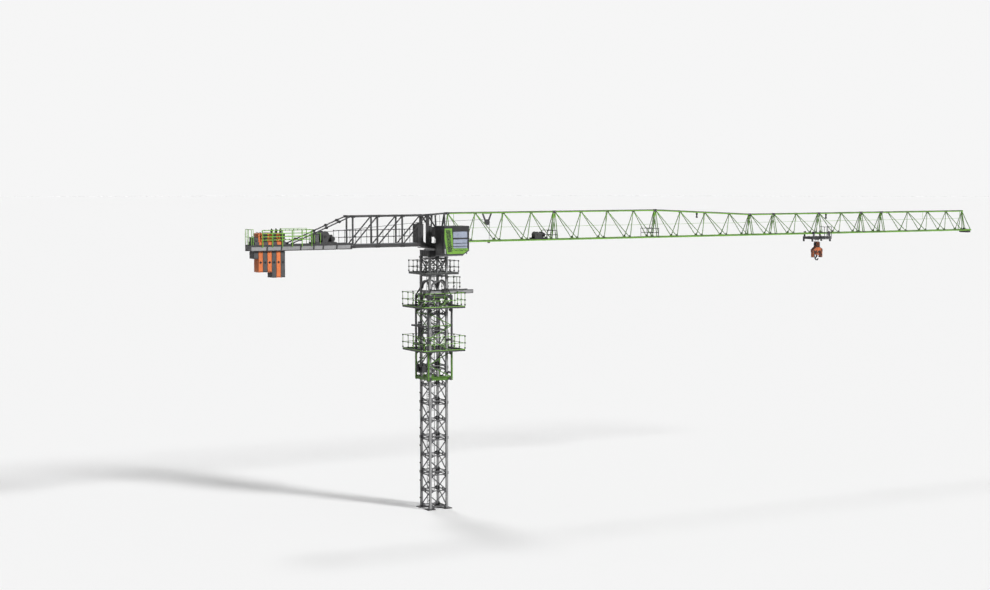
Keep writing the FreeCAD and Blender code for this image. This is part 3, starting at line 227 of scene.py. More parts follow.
    def pillow(self, center, half, rows=14, cols=24, square=0.45):
        """A crowned closed cushion whose sides pull in between its corners."""
        def bend(value):
            return copysign(abs(value) ** square, value)
        verts = [Vector(center) - Vector((0, 0, half[2]))]
        for r in range(1, rows):
            p = pi * (r / rows - 0.5)
            for t in circle(cols):
                verts.append(Vector(center) + Vector((half[0] * bend(cos(p)) * bend(cos(t)),
                                                      half[1] * bend(cos(p)) * bend(sin(t)),
                                                      half[2] * bend(sin(p)))))
        verts.append(Vector(center) + Vector((0, 0, half[2])))
        faces = []
        for c in range(cols):
            n = (c + 1) % cols
            faces.append((0, 1 + n, 1 + c))
            last = 1 + (rows - 2) * cols
            faces.append((last + c, last + n, len(verts) - 1))
            for r in range(rows - 2):
                a = 1 + r * cols
                faces.append((a + c, a + n, a + cols + n, a + cols + c))
        self.add(verts, faces)

    def bolt(self, at, axis, size, height):
        """A hexagon head with a washer, standing on a face along an axis vector."""
        a = Vector(at)
        d = Vector(axis).normalized()
        self.prism(a, a + d * height * 0.25, size * 0.72, 12)
        self.prism(a + d * height * 0.25, a + d * height, size * 0.56, 6)

    def stud(self, x, y, z, out, size, height):
        """A bolt on a face across Y."""
        self.bolt((x, y, z), (0, out, 0), size, height)

    def piece(self, name, material, body="upper_works", slot="dark_grey", bevel=0.0):
        mesh = bpy.data.meshes.new(name)
        mesh.from_pydata(self.verts, [], self.faces)
        mesh.validate()
        mesh.update()
        obj = bpy.data.objects.new(name, mesh)
        bpy.context.scene.collection.objects.link(obj)
        bpy.context.view_layer.objects.active = obj
        obj.select_set(True)
        bpy.ops.object.mode_set(mode="EDIT")
        bpy.ops.mesh.select_all(action="SELECT")
        bpy.ops.mesh.normals_make_consistent(inside=False)
        bpy.ops.object.mode_set(mode="OBJECT")
        obj.select_set(False)
        if bevel:
            mod = obj.modifiers.new("edges", "BEVEL")
            mod.width = bevel
            mod.segments = 1
            mod.limit_method = "ANGLE"
        mesh.materials.append(material)
        smooth(obj)
        if body:
            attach(obj, body)
        return obj


def builds(count):
    """Several empty meshes."""
    return [Build() for _ in range(count)]


def smooth(obj, angle=32):
    """Smooth shading with sharp edges kept."""
    mesh = obj.data
    for poly in mesh.polygons:
        poly.use_smooth = True
    mesh.set_sharp_from_angle(angle=radians(angle))


# ---------------------------------------------------------------- materials

def fill(inputs, values):
    """Sets a node's inputs by name."""
    for key, value in values.items():
        inputs[key].default_value = value


class Paint:
    """A node tree that builds up one weathered finish from object coordinates."""

    def __init__(self, name):
        self.mat = bpy.data.materials.new(name)
        self.mat.use_nodes = True
        self.tree = self.mat.node_tree
        self.tree.nodes.clear()
        out = self.new("ShaderNodeOutputMaterial")
        self.bsdf = self.new("ShaderNodeBsdfPrincipled")
        self.link(self.bsdf.outputs[0], out.inputs[0])
        self.coord = self.new("ShaderNodeTexCoord").outputs["Object"]

    def new(self, kind):
        return self.tree.nodes.new(kind)

    def link(self, source, target):
        self.tree.links.new(source, target)

    def noise(self, size, detail=4, stretch=None, roughness=0.6):
        node = self.new("ShaderNodeTexNoise")
        fill(node.inputs, {"Scale": size, "Detail": detail, "Roughness": roughness})
        source = self.coord
        if stretch:
            mapping = self.new("ShaderNodeMapping")
            mapping.inputs["Scale"].default_value = stretch
            self.link(source, mapping.inputs[0])
            source = mapping.outputs[0]
        self.link(source, node.inputs["Vector"])
        return node.outputs["Fac"]

    def ramp(self, value, low, high, a=(0, 0, 0, 1), b=(1, 1, 1, 1)):
        node = self.new("ShaderNodeValToRGB")
        node.color_ramp.elements[0].position = low
        node.color_ramp.elements[1].position = high
        node.color_ramp.elements[0].color = a
        node.color_ramp.elements[1].color = b
        self.link(value, node.inputs[0])
        return node.outputs[0]

    def mix(self, fac, a, b):
        node = self.new("ShaderNodeMix")
        node.data_type = "RGBA"
        self.link(fac, node.inputs[0])
        for socket, value in ((node.inputs[6], a), (node.inputs[7], b)):
            if isinstance(value, tuple):
                socket.default_value = (*value[:3], 1)
            else:
                self.link(value, socket)
        return node.outputs[2]

    def math(self, operation, a, b=None):
        node = self.new("ShaderNodeMath")
        node.operation = operation
        for socket, value in zip(node.inputs, (a, b)):
            if value is None:
                continue
            if isinstance(value, (int, float)):
                socket.default_value = value
            else:
                self.link(value, socket)
        return node.outputs[0]

    def zone(self, limits):
        """1 where every limit holds: (axis, magnitude only, lowest, highest) in metres."""
        split = self.new("ShaderNodeSeparateXYZ")
        self.link(self.coord, split.inputs[0])
        total = None
        for axis, magnitude, low, high in limits:
            value = split.outputs[axis]
            if magnitude:
                value = self.math("ABSOLUTE", value)
            above, below = self.math("GREATER_THAN", value, low), self.math("LESS_THAN", value, high)
            inside = self.math("MULTIPLY", above, below)
            total = inside if total is None else self.math("MULTIPLY", total, inside)
        return total


def shades(colour, dark=0.72, light=1.3):
    """A darker and a lighter tone of a colour."""
    return tuple(c * dark for c in colour), tuple(min(c * light, 1.0) for c in colour)


def painted(name, colour, rough=0.5, grime=0.3, chips=0.22, scale=1.0, metallic=0.0, bump=0.15, zone=None,
            zone_colour=None, chip_colour=(0.16, 0.12, 0.09), rust=0.0):
    """Weathered paint: patches of shade, streaks that run down, grime, small chips and a little rust."""
    paint = Paint(name)
    dark, light = shades(colour)
    patches = paint.ramp(paint.noise(2.2 * scale, 3), 0.35, 0.68)
    base = paint.mix(patches, dark, colour)
    fine = paint.ramp(paint.noise(26 * scale, 5), 0.42, 0.7)
    base = paint.mix(paint.math("MULTIPLY", fine, 0.45), base, light)
    if zone:
        other_dark, other_light = shades(zone_colour)
        other = paint.mix(patches, other_dark, zone_colour)
        other = paint.mix(paint.math("MULTIPLY", fine, 0.45), other, other_light)
        base = paint.mix(paint.zone(zone), base, other)
    streak = paint.ramp(paint.noise(5 * scale, 5, (6, 6, 0.5)), 0.52, 0.75)
    base = paint.mix(paint.math("MULTIPLY", streak, grime), base, (0.05, 0.045, 0.04))
    spots = paint.ramp(paint.noise(90 * scale, 3, None, 0.7), 0.66, 0.72)
    base = paint.mix(paint.math("MULTIPLY", spots, chips), base, chip_colour)
    if rust:
        blush = paint.ramp(paint.noise(9 * scale, 6, (3, 3, 1), 0.7), 0.58, 0.72)
        base = paint.mix(paint.math("MULTIPLY", blush, rust), base, (0.2, 0.075, 0.03))
    paint.link(base, paint.bsdf.inputs["Base Color"])
    paint.bsdf.inputs["Metallic"].default_value = metallic
    rough_low = (max(rough - 0.12, 0.05),) * 3 + (1,)
    rough_high = (min(rough + 0.16, 0.95),) * 3 + (1,)
    wear = paint.ramp(paint.noise(14 * scale, 4), 0.3, 0.75, rough_low, rough_high)
    paint.link(wear, paint.bsdf.inputs["Roughness"])
    node = paint.new("ShaderNodeBump")
    fill(node.inputs, {"Strength": bump, "Distance": 0.004})
    paint.link(paint.noise(60 * scale, 4), node.inputs["Height"])
    paint.link(node.outputs[0], paint.bsdf.inputs["Normal"])
    return paint.mat


LIME = (0.19, 0.44, 0.04)
GREEN = (0.085, 0.22, 0.012)
LIGHT_GREY = (0.33, 0.33, 0.335)
BRACE_GREY = (0.12, 0.12, 0.125)
DARK = (0.032, 0.032, 0.034)
POST_EDGE = 0.322
EVERYWHERE = 99.0
FLOOR_Z = -0.002
LACING = (10.595, 11.4)
DECK_THICK = 0.06

MAST_GREY = painted("mast_grey_paint", BRACE_GREY, rust=0.15,
                    zone=[(0, True, POST_EDGE, EVERYWHERE), (1, True, POST_EDGE, EVERYWHERE)],
                    zone_colour=LIGHT_GREY)
CAGE_GREEN = painted("cage_green_paint", GREEN, rough=0.45)
JIB_GREEN = painted("jib_green_paint", LIME, rough=0.42, grime=0.45)
JIB_TRUSS = painted("jib_truss_paint", LIME, rough=0.42, grime=0.5, zone=[(2, False, *LACING)],
                    zone_colour=GREEN)
DARK_GREY = painted("dark_grey_paint", DARK, rough=0.5)
MID_GREY = painted("mid_grey_paint", (0.1, 0.1, 0.105), rough=0.5)
PALE_GREY = painted("pale_grey_paint", (0.42, 0.42, 0.43), rough=0.5)
BLACK = painted("black_paint", (0.008, 0.008, 0.009), rough=0.42)
STEEL = painted("bright_steel_wear", (0.42, 0.42, 0.43), rough=0.35, metallic=0.9, chips=0.1)
GALVANISED = painted("galvanised_spangle", (0.3, 0.31, 0.32), rough=0.5, metallic=0.6, scale=1.6)
BALLAST_GREY = painted("ballast_grey_concrete", (0.085, 0.085, 0.088), rough=0.8, bump=0.6)
BALLAST_ORANGE = painted("ballast_orange_paint", (0.78, 0.2, 0.05), rough=0.7, bump=0.6, grime=0.2)
HOOK_ORANGE = painted("hook_orange_paint", (0.62, 0.15, 0.035), rough=0.45, grime=0.5)
FORGED = painted("forged_dark_steel", (0.06, 0.06, 0.062), rough=0.45, metallic=0.6)
ROPE = painted("wire_rope_greased", (0.09, 0.09, 0.09), rough=0.45, metallic=0.7, scale=6)
RUBBER = painted("black_rubber", (0.02, 0.02, 0.02), rough=0.75, chips=0.0)
SEAT = painted("seat_fabric_grey", (0.07, 0.07, 0.08), rough=0.9, bump=0.4, chips=0.0)

SLOTS = {"mast_grey": MAST_GREY, "cage_green": CAGE_GREEN, "jib_green": JIB_GREEN, "dark_grey": DARK_GREY,
         "galvanised": GALVANISED, "bright_steel": STEEL, "concrete_grey": BALLAST_GREY,
         "ballast_orange": BALLAST_ORANGE, "hook_orange": HOOK_ORANGE, "hook_steel": FORGED, "wire_rope": ROPE}


def glass():
    """Tinted cab glass with faint dust."""
    mat = painted("window_glass_tint", (0.5, 0.56, 0.7), rough=0.15, grime=0.1, chips=0.0, bump=0.02)
    bsdf = next(n for n in mat.node_tree.nodes if n.type == "BSDF_PRINCIPLED")
    bsdf.inputs["Alpha"].default_value = 0.72
    return mat


GLASS = glass()
SLOTS["window_glass"] = GLASS


def platform_paint(name, rail_colour):
    """A dark deck with its railing in another colour above it."""
    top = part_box(name)[0].z + DECK_THICK
    return painted(name + "_paint", rail_colour, zone=[(2, False, -EVERYWHERE, top)], zone_colour=DARK)


def special_paints():
    """The finishes of the pieces that carry two colours, by node. The light grey on the webs of the
    introduction rails and the rear frame is a painted highlight for the lit web faces.
    """
    found = {name: platform_paint(name, colour) for name, colour in (
        ("cage_lower_platform", LIME), ("cage_upper_platform", LIME),
        ("support_platform", (0.1, 0.11, 0.1)), ("introduction_platform", (0.12, 0.15, 0.1)))}
    low_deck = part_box("cage_lower_platform")[0].z
    for side in ("cage_left_side", "cage_right_side"):
        found[side] = painted(side + "_paint", GREEN, zone_colour=DARK,
                              zone=[(0, True, 0.488, EVERYWHERE), (2, False, low_deck, EVERYWHERE)])
    # The light grey band between the introduction rails' flanges is a painted highlight standing in for the lit
    # web; the flanges stay dark.
    low, high = (corner.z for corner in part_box("introduction_rails"))
    found["introduction_rails"] = painted("introduction_rails_painted_highlight", DARK, zone_colour=LIGHT_GREY,
                                          zone=[(2, False, low + 0.016, high - 0.016)])
    # The light grey on the rear frame's web, between its flanges, is a painted highlight standing in for the
    # lit web face.
    low, high = (corner.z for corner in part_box("counter_rear_frame"))
    found["counter_rear_frame"] = painted("counter_rear_frame_painted_highlight", DARK, zone_colour=LIGHT_GREY,
                                          zone=[(2, False, low + 0.03, high - 0.075),
                                                (1, True, 0.28, EVERYWHERE)])
    for index in range(1, 9):
        found["jib_section_%d" % index] = JIB_TRUSS
    return found


special = special_paints()
slot_of = {part["node"]: part["material_slot"] for part in frame["record"]["subparts"]}
for name, obj in nodes.items():
    obj.data.materials.clear()
    obj.data.materials.append(special.get(name, SLOTS[slot_of[name]]))
    smooth(obj)


# ---------------------------------------------------------------- details

SIDES = (-1, 1)
CORNERS = [(x, y) for x in SIDES for y in SIDES]
POST_AT = 0.37
BASE = 0.03
SECTION = 1.4
SECTIONS = 6
CAGE_AT = 0.52
CHORD_Y = 0.225
CHORD_Z = 10.56
TOP_Z = 11.685
JIB_JOINTS = (5.575, 10.575, 15.575, 16.875, 19.425, 21.875, 23.075)
TAPER_START, TAPER_END, TAPER_DROP = 10.575, 15.575, 0.245
DECK_TOP = 10.55
RAIL = 0.009
TROLLEY_X = 19.35
PULLEY_REACH = 0.2145
RING_BOLTS, TOOTH_ROOT, TOOTH_TIP, MOTOR_Y = 0.35, 0.378, 0.3835, 0.45
CYLINDER_X = -0.64
CAB_FAR, CAB_INNER = -1.35, -0.61
BEAM_TOP = 10.605


def top_chord(x):
    """Height of the upper chord's axis."""
    share = min(max((x - TAPER_START) / (TAPER_END - TAPER_START), 0.0), 1.0)
    return TOP_Z - TAPER_DROP * share


def mast_details():
    """Joint pins, climbing pegs, gussets and node plates on the mast sections."""
    pins, plates = builds(2)
    for level in range(SECTIONS + 1):
        z = BASE + SECTION * level
        for x, y in CORNERS:
            px, py = x * POST_AT, y * POST_AT
            for rise in (-0.028, 0.028) if level else (0.028,):
                pins.prism((px - 0.07, py, z + rise), (px + 0.07, py, z + rise), 0.012, 8)
                pins.pin(px, py - 0.07, py + 0.07, z + rise, 0.012, 8)
    for index in range(SECTIONS):
        z = BASE + SECTION * index
        for y in SIDES:
            for rise in (0.35, 1.05):
                level, post = z + rise, y * POST_AT
                plates.box(-0.442, -0.405, *about(post, 0.03), *about(level, 0.028))
        for side in SIDES:
            face = side * (POST_AT + 0.012)
            for rise in (0.07, 0.7, 1.33):
                level = z + rise
                for hand in SIDES:
                    a, b = hand * 0.33, hand * 0.2
                    for along_x in (True, False):
                        plates.gusset(
                            [(a, level - 0.1), (a, level + 0.1), (b, level + 0.018), (b, level - 0.018)],
                            face, along_x)
            level = z + 0.7
            for along_x in (True, False):
                plates.gusset([(-0.09, level), (0, level + 0.09), (0.09, level), (0, level - 0.09)],
                              face, along_x)
    pins.piece("mast_joint_pins", BLACK, "tower")
    plates.piece("mast_gussets", DARK_GREY, "tower", bevel=0.002)


def ladder_hoops():
    """Safety hoops and straps round the climb inside the mast."""
    build = Build()
    center, radius = -0.13, 0.165
    for i in range(26):
        z = 0.75 + 0.35 * i
        build.loop((center, 0, z), 2, radius, 0.006, 12, 5, -2.35, 4.7)
    for turn in (-1.2, 0.0, 1.2):
        x, y = center + radius * cos(turn), radius * sin(turn)
        build.bar((x, y, 0.7), (x, y, 9.55), 0.016, 0.006)
    build.piece("ladder_hoops", MID_GREY, "tower")


def fence_knots(build, start, end, floor, height, count, size=0.022):
    """Clamps where the rails of a fence cross its posts."""
    for i in range(count):
        share = i / (count - 1)
        x = start[0] + share * (end[0] - start[0])
        y = start[1] + share * (end[1] - start[1])
        for level in (floor + 0.1, floor + height / 2, floor + height - 0.02):
            build.block((x, y, level), (size, size, size * 1.2))


def ring_knots(build, half, floor, height, gate=None):
    """Clamps round a square platform, with a gap at its gate."""
    edge = half - RAIL
    runs = [(-edge, -edge, edge, -edge, 5), (-edge, edge, edge, edge, 5), (-edge, -edge, -edge, edge, 5)]
    if gate:
        runs += [(edge, -edge, edge, -gate, 3), (edge, gate, edge, edge, 3)]
    else:
        runs.append((edge, -edge, edge, edge, 5))
    for x0, y0, x1, y1, count in runs:
        fence_knots(build, (x0, y0), (x1, y1), floor, height, count)


def grating(build, x0, x1, y0, y1, z, step=0.035, along_x=True):
    """Bearing bars of a grating, laid on a deck."""
    low, high = (y0, y1) if along_x else (x0, x1)
    for i in range(int((high - low) / step)):
        at = low + step * (i + 0.5)
        if along_x:
            build.box(x0, x1, *about(at, 0.003), z, z + 0.007)
        else:
            build.box(*about(at, 0.003), y0, y1, z, z + 0.007)


def platform_details():
    """Railing clamps and gratings of the four platforms on the tower."""
    knots, decks = builds(2)
    for name, half, inner, gate in (("cage_lower_platform", 0.915, 0.62, None),
                                    ("cage_upper_platform", 0.915, 0.62, 0.3),
                                    ("support_platform", 0.73, 0.47, None)):
        low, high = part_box(name)
        ring_knots(knots, half, low.z + 0.024, high.z - low.z - 0.024, gate)
        z = low.z + 0.0235
        for side in SIDES:
            near, far = sorted((side * inner, side * (half - 0.02)))
            grating(decks, -half + 0.02, half - 0.02, near, far, z)
        if name != "cage_lower_platform":
            grating(decks, -half + 0.02, -inner, -inner, inner, z, 0.035, False)
        grating(decks, inner, half - 0.02, -inner, inner, z, 0.035, False)
    low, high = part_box("introduction_platform")
    fence_knots(knots, (low.x + RAIL, low.y + RAIL), (high.x - RAIL, low.y + RAIL), high.z - 0.5, 0.5, 3)
    fence_knots(knots, (low.x + RAIL, high.y - RAIL), (high.x - RAIL, high.y - RAIL), high.z - 0.5, 0.5, 3)
    knots.piece("railing_clamps", BLACK, "tower")
    decks.piece("platform_gratings", GALVANISED, "tower", "galvanised")


def cage_details():
    """Guide rollers, corner plates, the power pack's fittings and its pipes."""
    rollers, plates, pack = builds(3)
    for z in (5.42, 6.72, 8.16):
        for x, y in CORNERS:
            rollers.wheel((x * POST_AT, y * 0.462, z), 0.045, 0.05, 0, 0.004, 0.018, 18)
            rollers.wheel((x * 0.462, y * POST_AT, z), 0.045, 0.05, 1, 0.004, 0.018, 18)
            plates.bar((x * 0.335, y * 0.462, z), (x * 0.5, y * 0.505, z), 0.02, 0.05)
            plates.bar((x * 0.462, y * 0.335, z), (x * 0.505, y * 0.5, z), 0.02, 0.05)
    for z in (5.19, 6.2, 7.9, 8.4):
        for x, y in CORNERS:
            face = y * (CAGE_AT + 0.034)
            corner = x * (CAGE_AT - 0.03)
            far = x * (CAGE_AT - 0.15)
            plates.flat(face - y * 0.006,
                        [(corner, z - 0.09), (corner, z + 0.09), (far, z + 0.02), (far, z - 0.02)], 0.012)
            for rise in (-0.05, 0.05):
                plates.stud(x * CAGE_AT, y * (CAGE_AT + 0.03), z + rise, y, 0.011, 0.012)
    low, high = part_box("hydraulic_power_pack")
    top = high.z
    pack.post(-0.84, -0.24, low.z + 0.06, top - 0.04, 0.06, 20)
    for i in range(9):
        pack.wheel((-0.84, -0.24, low.z + 0.1 + 0.022 * i), 0.067, 0.006, 2, 0.0, 0.02, 20)
    pack.box(-0.84, -0.775, -0.46, -0.36, top - 0.14, top - 0.02)
    pack.post(-0.75, -0.17, top - 0.004, top + 0.012, 0.022, 12)
    for i in range(7):
        y = low.y + 0.05 + 0.04 * i
        pack.box(low.x - 0.008, low.x + 0.004, y, y + 0.014, low.z + 0.04, top - 0.03)
    for offset in (0.0, 0.035):
        pack.tube([(x, y - offset, z) for x, y, z in (
            (-0.81, -0.385, top - 0.03), (-0.81, -0.4, top + 0.08), (-0.81, -0.42, 6.1), (-0.81, -0.42, 7.1),
            (-0.77, -0.3, 7.3), (-0.7, -0.06, 7.36))], 0.009, 8)
    for z in (6.05, 6.75):
        pack.box(-0.83, -0.79, -0.475, -0.4, z, z + 0.03)
    rollers.piece("cage_guide_rollers", FORGED, "tower")
    plates.piece("cage_corner_plates", DARK_GREY, "tower", bevel=0.0015)
    pack.piece("power_pack_fittings", BLACK, "tower", bevel=0.002)
    gland = Build()
    gland.post(CYLINDER_X, 0, 6.7, 6.74, 0.075, 24)
    gland.post(CYLINDER_X, 0, 7.36, 7.39, 0.072, 24)
    for turn in circle(8):
        gland.bolt((CYLINDER_X + 0.062 * cos(turn), 0.062 * sin(turn), 7.39), (0, 0, 1), 0.009, 0.01)
    gland.piece("cylinder_glands", STEEL, "tower", "bright_steel", 0.001)
    pins = Build()
    pins.pin(CYLINDER_X, -0.075, 0.075, 6.56, 0.022, 16)
    for y in SIDES:
        pins.box(-0.695, -0.585, *about(y * 0.33, 0.012), 6.495, 6.6)
    pins.piece("yoke_pins", STEEL, "climbing_yoke", "bright_steel", 0.0015)


def slewing_details():
    """Bolts and teeth of the slewing ring, ribs on the slewing motors, the stiffened slewing box."""
    bolts, teeth, ribs, box = builds(4)
    for turn in circle(40):
        bolts.bolt((RING_BOLTS * cos(turn), RING_BOLTS * sin(turn), 10.289), (0, 0, 1), 0.01, 0.012)
    for turn in circle(96):
        out, side = Vector((cos(turn), sin(turn), 0)), Vector((-sin(turn), cos(turn), 0))
        points = [out * reach + side * half for reach, half in (
            (TOOTH_ROOT, -0.007), (TOOTH_ROOT, 0.007), (TOOTH_TIP, 0.004), (TOOTH_TIP, -0.004))]
        teeth.plate([(p.x, p.y, 10.265) for p in points], (0, 0, 0.044))
    for y in SIDES:
        for i in range(9):
            ribs.wheel((0, y * MOTOR_Y, 10.5 + 0.026 * i), 0.08, 0.007, 2, 0.0, 0.03, 24)
        ribs.post(0, y * MOTOR_Y, 10.775, 10.8, 0.066, 24)
        ribs.box(0.06, 0.12, *about(y * MOTOR_Y, 0.035), 10.56, 10.66)
    for side in SIDES:
        for i in range(5):
            at = -0.34 + 0.17 * i
            box.box(*about(at, 0.006), *about(side * 0.405, 0.008), 10.00, 10.235)
            box.box(*about(side * 0.405, 0.008), *about(at, 0.006), 10.00, 10.235)
        for z in (9.992, 10.226):
            box.box(-0.412, 0.412, side * 0.4, side * 0.412, z, z + 0.014)
    bolts.piece("slew_ring_bolts", STEEL, "tower", "bright_steel")
    teeth.piece("slew_ring_teeth", FORGED, "tower")
    ribs.piece("slew_motor_ribs", BLACK)
    box.piece("slew_box_stiffeners", DARK_GREY, "tower")


def jib_details():
    """Joint blocks and pins, lifeline, hanging lugs, short handrails and the tip's fittings."""
    blocks, pins, line, rails = builds(4)
    knots, flanges = builds(2)
    for x in JIB_JOINTS + (0.63,):
        z = top_chord(x)
        blocks.block((x, 0, z), (0.075, 0.043, 0.043))
        for dx in (-0.04, 0.04):
            pins.pin(x + dx, -0.062, 0.062, z, 0.014, 10)
        for y in SIDES:
            chord = y * CHORD_Y
            blocks.box(*about(x, 0.06), *about(chord, 0.036), CHORD_Z + 0.01, CHORD_Z + 0.045)
            for dx in (-0.03, 0.03):
                pins.post(x + dx, chord, CHORD_Z + 0.03, CHORD_Z + 0.075, 0.012, 8)
    for x in (12.75, 19.85):
        z = top_chord(x)
        blocks.flat(0, [(x - 0.05, z - 0.03), (x + 0.05, z - 0.03), (x + 0.022, z - 0.2), (x - 0.022, z - 0.2)],
                    0.03)
        blocks.wheel((x, 0, z - 0.21), 0.042, 0.05, 1, 0.008, 0.012, 16)
    start = 0.575
    for bay in (1.3, 1.3, 1.3, 1.1) * 3 + (1.3, 1.275, 1.275, 1.3, 1.15, 1.2, 0.4, 1.2, 1.2, 1.15, 1.05):
        if bay > 0.5:
            x = start + 0.77 * bay
            for y in SIDES:
                chord = y * CHORD_Y
                knots.box(*about(x, 0.075), *about(chord, 0.028), CHORD_Z + 0.02, CHORD_Z + 0.04)
                knots.plate([(x - 0.06, y * 0.212, CHORD_Z + 0.03), (x + 0.06, y * 0.212, CHORD_Z + 0.03),
                                   (x + 0.03, y * 0.2, CHORD_Z + 0.11), (x - 0.03, y * 0.2, CHORD_Z + 0.11)],
                                  (0, 0.01, 0))
        z = top_chord(start)
        knots.box(*about(start, 0.06), -0.039, 0.039, z - 0.052, z - 0.02)
        start += bay
    for x0, x1 in ((0.62, 5.5), (5.65, 10.5), (10.65, 15.5), (15.65, 19.35), (19.5, 23.0), (23.15, 28.0)):
        for y in SIDES:
            out = y * 0.0355
            flanges.bar((x0, out, top_chord(x0) + 0.024), (x1, out, top_chord(x1) + 0.024), 0.006, 0.024)
            flanges.bar((x0, y * 0.2555, CHORD_Z + 0.021), (x1, y * 0.2555, CHORD_Z + 0.021), 0.003, 0.018)
    stops = (0.9, 3.1, 5.575, 8.1, 10.575, 13.1, 15.575, 18.15, 20.65, 23.075, 25.6, 27.9)
    for x in stops:
        line.bar((x, 0, top_chord(x) - 0.03), (x, 0, 11.09), 0.008, 0.014)
    for x0, x1 in zip(stops, stops[1:]):
        line.tube([(x0, 0, 11.1), (x0 + (x1 - x0) / 2, 0, 11.085), (x1, 0, 11.1)], 0.006, 5)
    for start, end in ((5.12, 5.56), (10.02, 10.62)):
        for y in SIDES:
            chord = y * CHORD_Y
            for x in (start, end):
                rails.bar((x, chord, CHORD_Z + 0.02), (x, chord, CHORD_Z + 0.38), 0.014, 0.014)
            for rise in (0.19, 0.37):
                rails.bar((start, chord, CHORD_Z + rise), (end, chord, CHORD_Z + rise), 0.02, 0.024)
    rails.wheel((28.2, -0.035, 10.6), 0.055, 0.02, 1, 0.008, 0.015, 20)
    rails.wheel((28.2, 0.035, 10.6), 0.055, 0.02, 1, 0.008, 0.015, 20)
    rails.pin(28.2, -0.22, 0.22, 10.6, 0.012, 10)
    for y in SIDES:
        rails.box(28.3, 28.405, *about(y * 0.18, 0.02), 10.5, 10.6)
    knots.piece("jib_node_plates", BLACK)
    flanges.piece("jib_chord_strips", BLACK)
    blocks.piece("jib_joint_blocks", BLACK, bevel=0.003)
    pins.piece("jib_joint_pins", STEEL, "upper_works", "bright_steel")
    line.piece("jib_lifeline", JIB_GREEN, "upper_works", "jib_green")
    rails.piece("jib_handrails_and_tip_sheaves", BLACK)


def running_ropes():
    """The parts of the running ropes that keep their place as the trolley travels."""
    build = Build()
    for y in (-0.034, 0.034):
        build.tube([(2.5, y, 10.537), (15.0, y, 10.536), (28.14, y, 10.537)], 0.005, 6)
        build.tube([(-4.775, y * 2.4, 11.03), (-0.69, y, 11.338), (2.42, y * 0.3, 11.416)], 0.006, 6)
        build.tube([(2.532, y * 0.3, 11.31), (2.534, y, 10.56), (2.5, y, 10.538)], 0.005, 6)
    for y in (-0.11, 0.11):
        build.tube([(4.72, y, 10.537), (15.0, y, 10.536), (28.14, y, 10.537)], 0.004, 5)
    build.piece("running_ropes", ROPE, "upper_works", "wire_rope")
    guide = Build()
    guide.wheel((2.42, 0, 11.3), 0.118, 0.05, 1, 0.014, 0.03, 30)
    guide.wheel((2.5, 0, 10.5), 0.034, 0.11, 1, 0.0, 0.012, 16)
    guide.wheel((-0.69, 0, 11.305), 0.036, 0.12, 1, 0.0, 0.012, 16)
    for y in SIDES:
        guide.box(-0.71, -0.67, *about(y * 0.07, 0.005), 11.27, 11.32)
        guide.stud(2.42, y * 0.034, 11.3, y, 0.026, 0.02)
        guide.bar((2.5, y * 0.06, 10.5), (2.5, y * 0.215, 10.555), 0.014, 0.02)
    guide.piece("rope_rollers", BLACK)


def trolley_winch_details():
    """Rope on the drum, motor ribs, bolts and pipe guards of the trolley winch."""
    rope, body = builds(2)
    x, z = 4.7, 10.76
    for i in range(16):
        rope.loop((x, -0.1 + 0.0132 * i, z), 1, 0.114, 0.006, 28, 5)
    for y in SIDES:
        body.wheel((x, y * 0.112, z), 0.128, 0.008, 1, 0.0, 0.03, 28)
        body.stud(x, y * 0.135, z, y, 0.035, 0.02)
        body.box(4.552, 5.118, *about(y * 0.25, 0.006), 10.59, 10.64)
    for i in range(9):
        body.wheel((4.83 + 0.14 + 0.012 * i, 0, z), 0.083, 0.005, 0, 0.0, 0.03, 22)
    body.prism((5.08, 0, z), (5.115, 0, z), 0.07, 22)
    body.box(4.9, 5.00, -0.06, 0.06, z + 0.07, z + 0.12)
    rope.piece("trolley_winch_rope", ROPE, "upper_works", "wire_rope")
    body.piece("trolley_winch_fittings", BLACK)


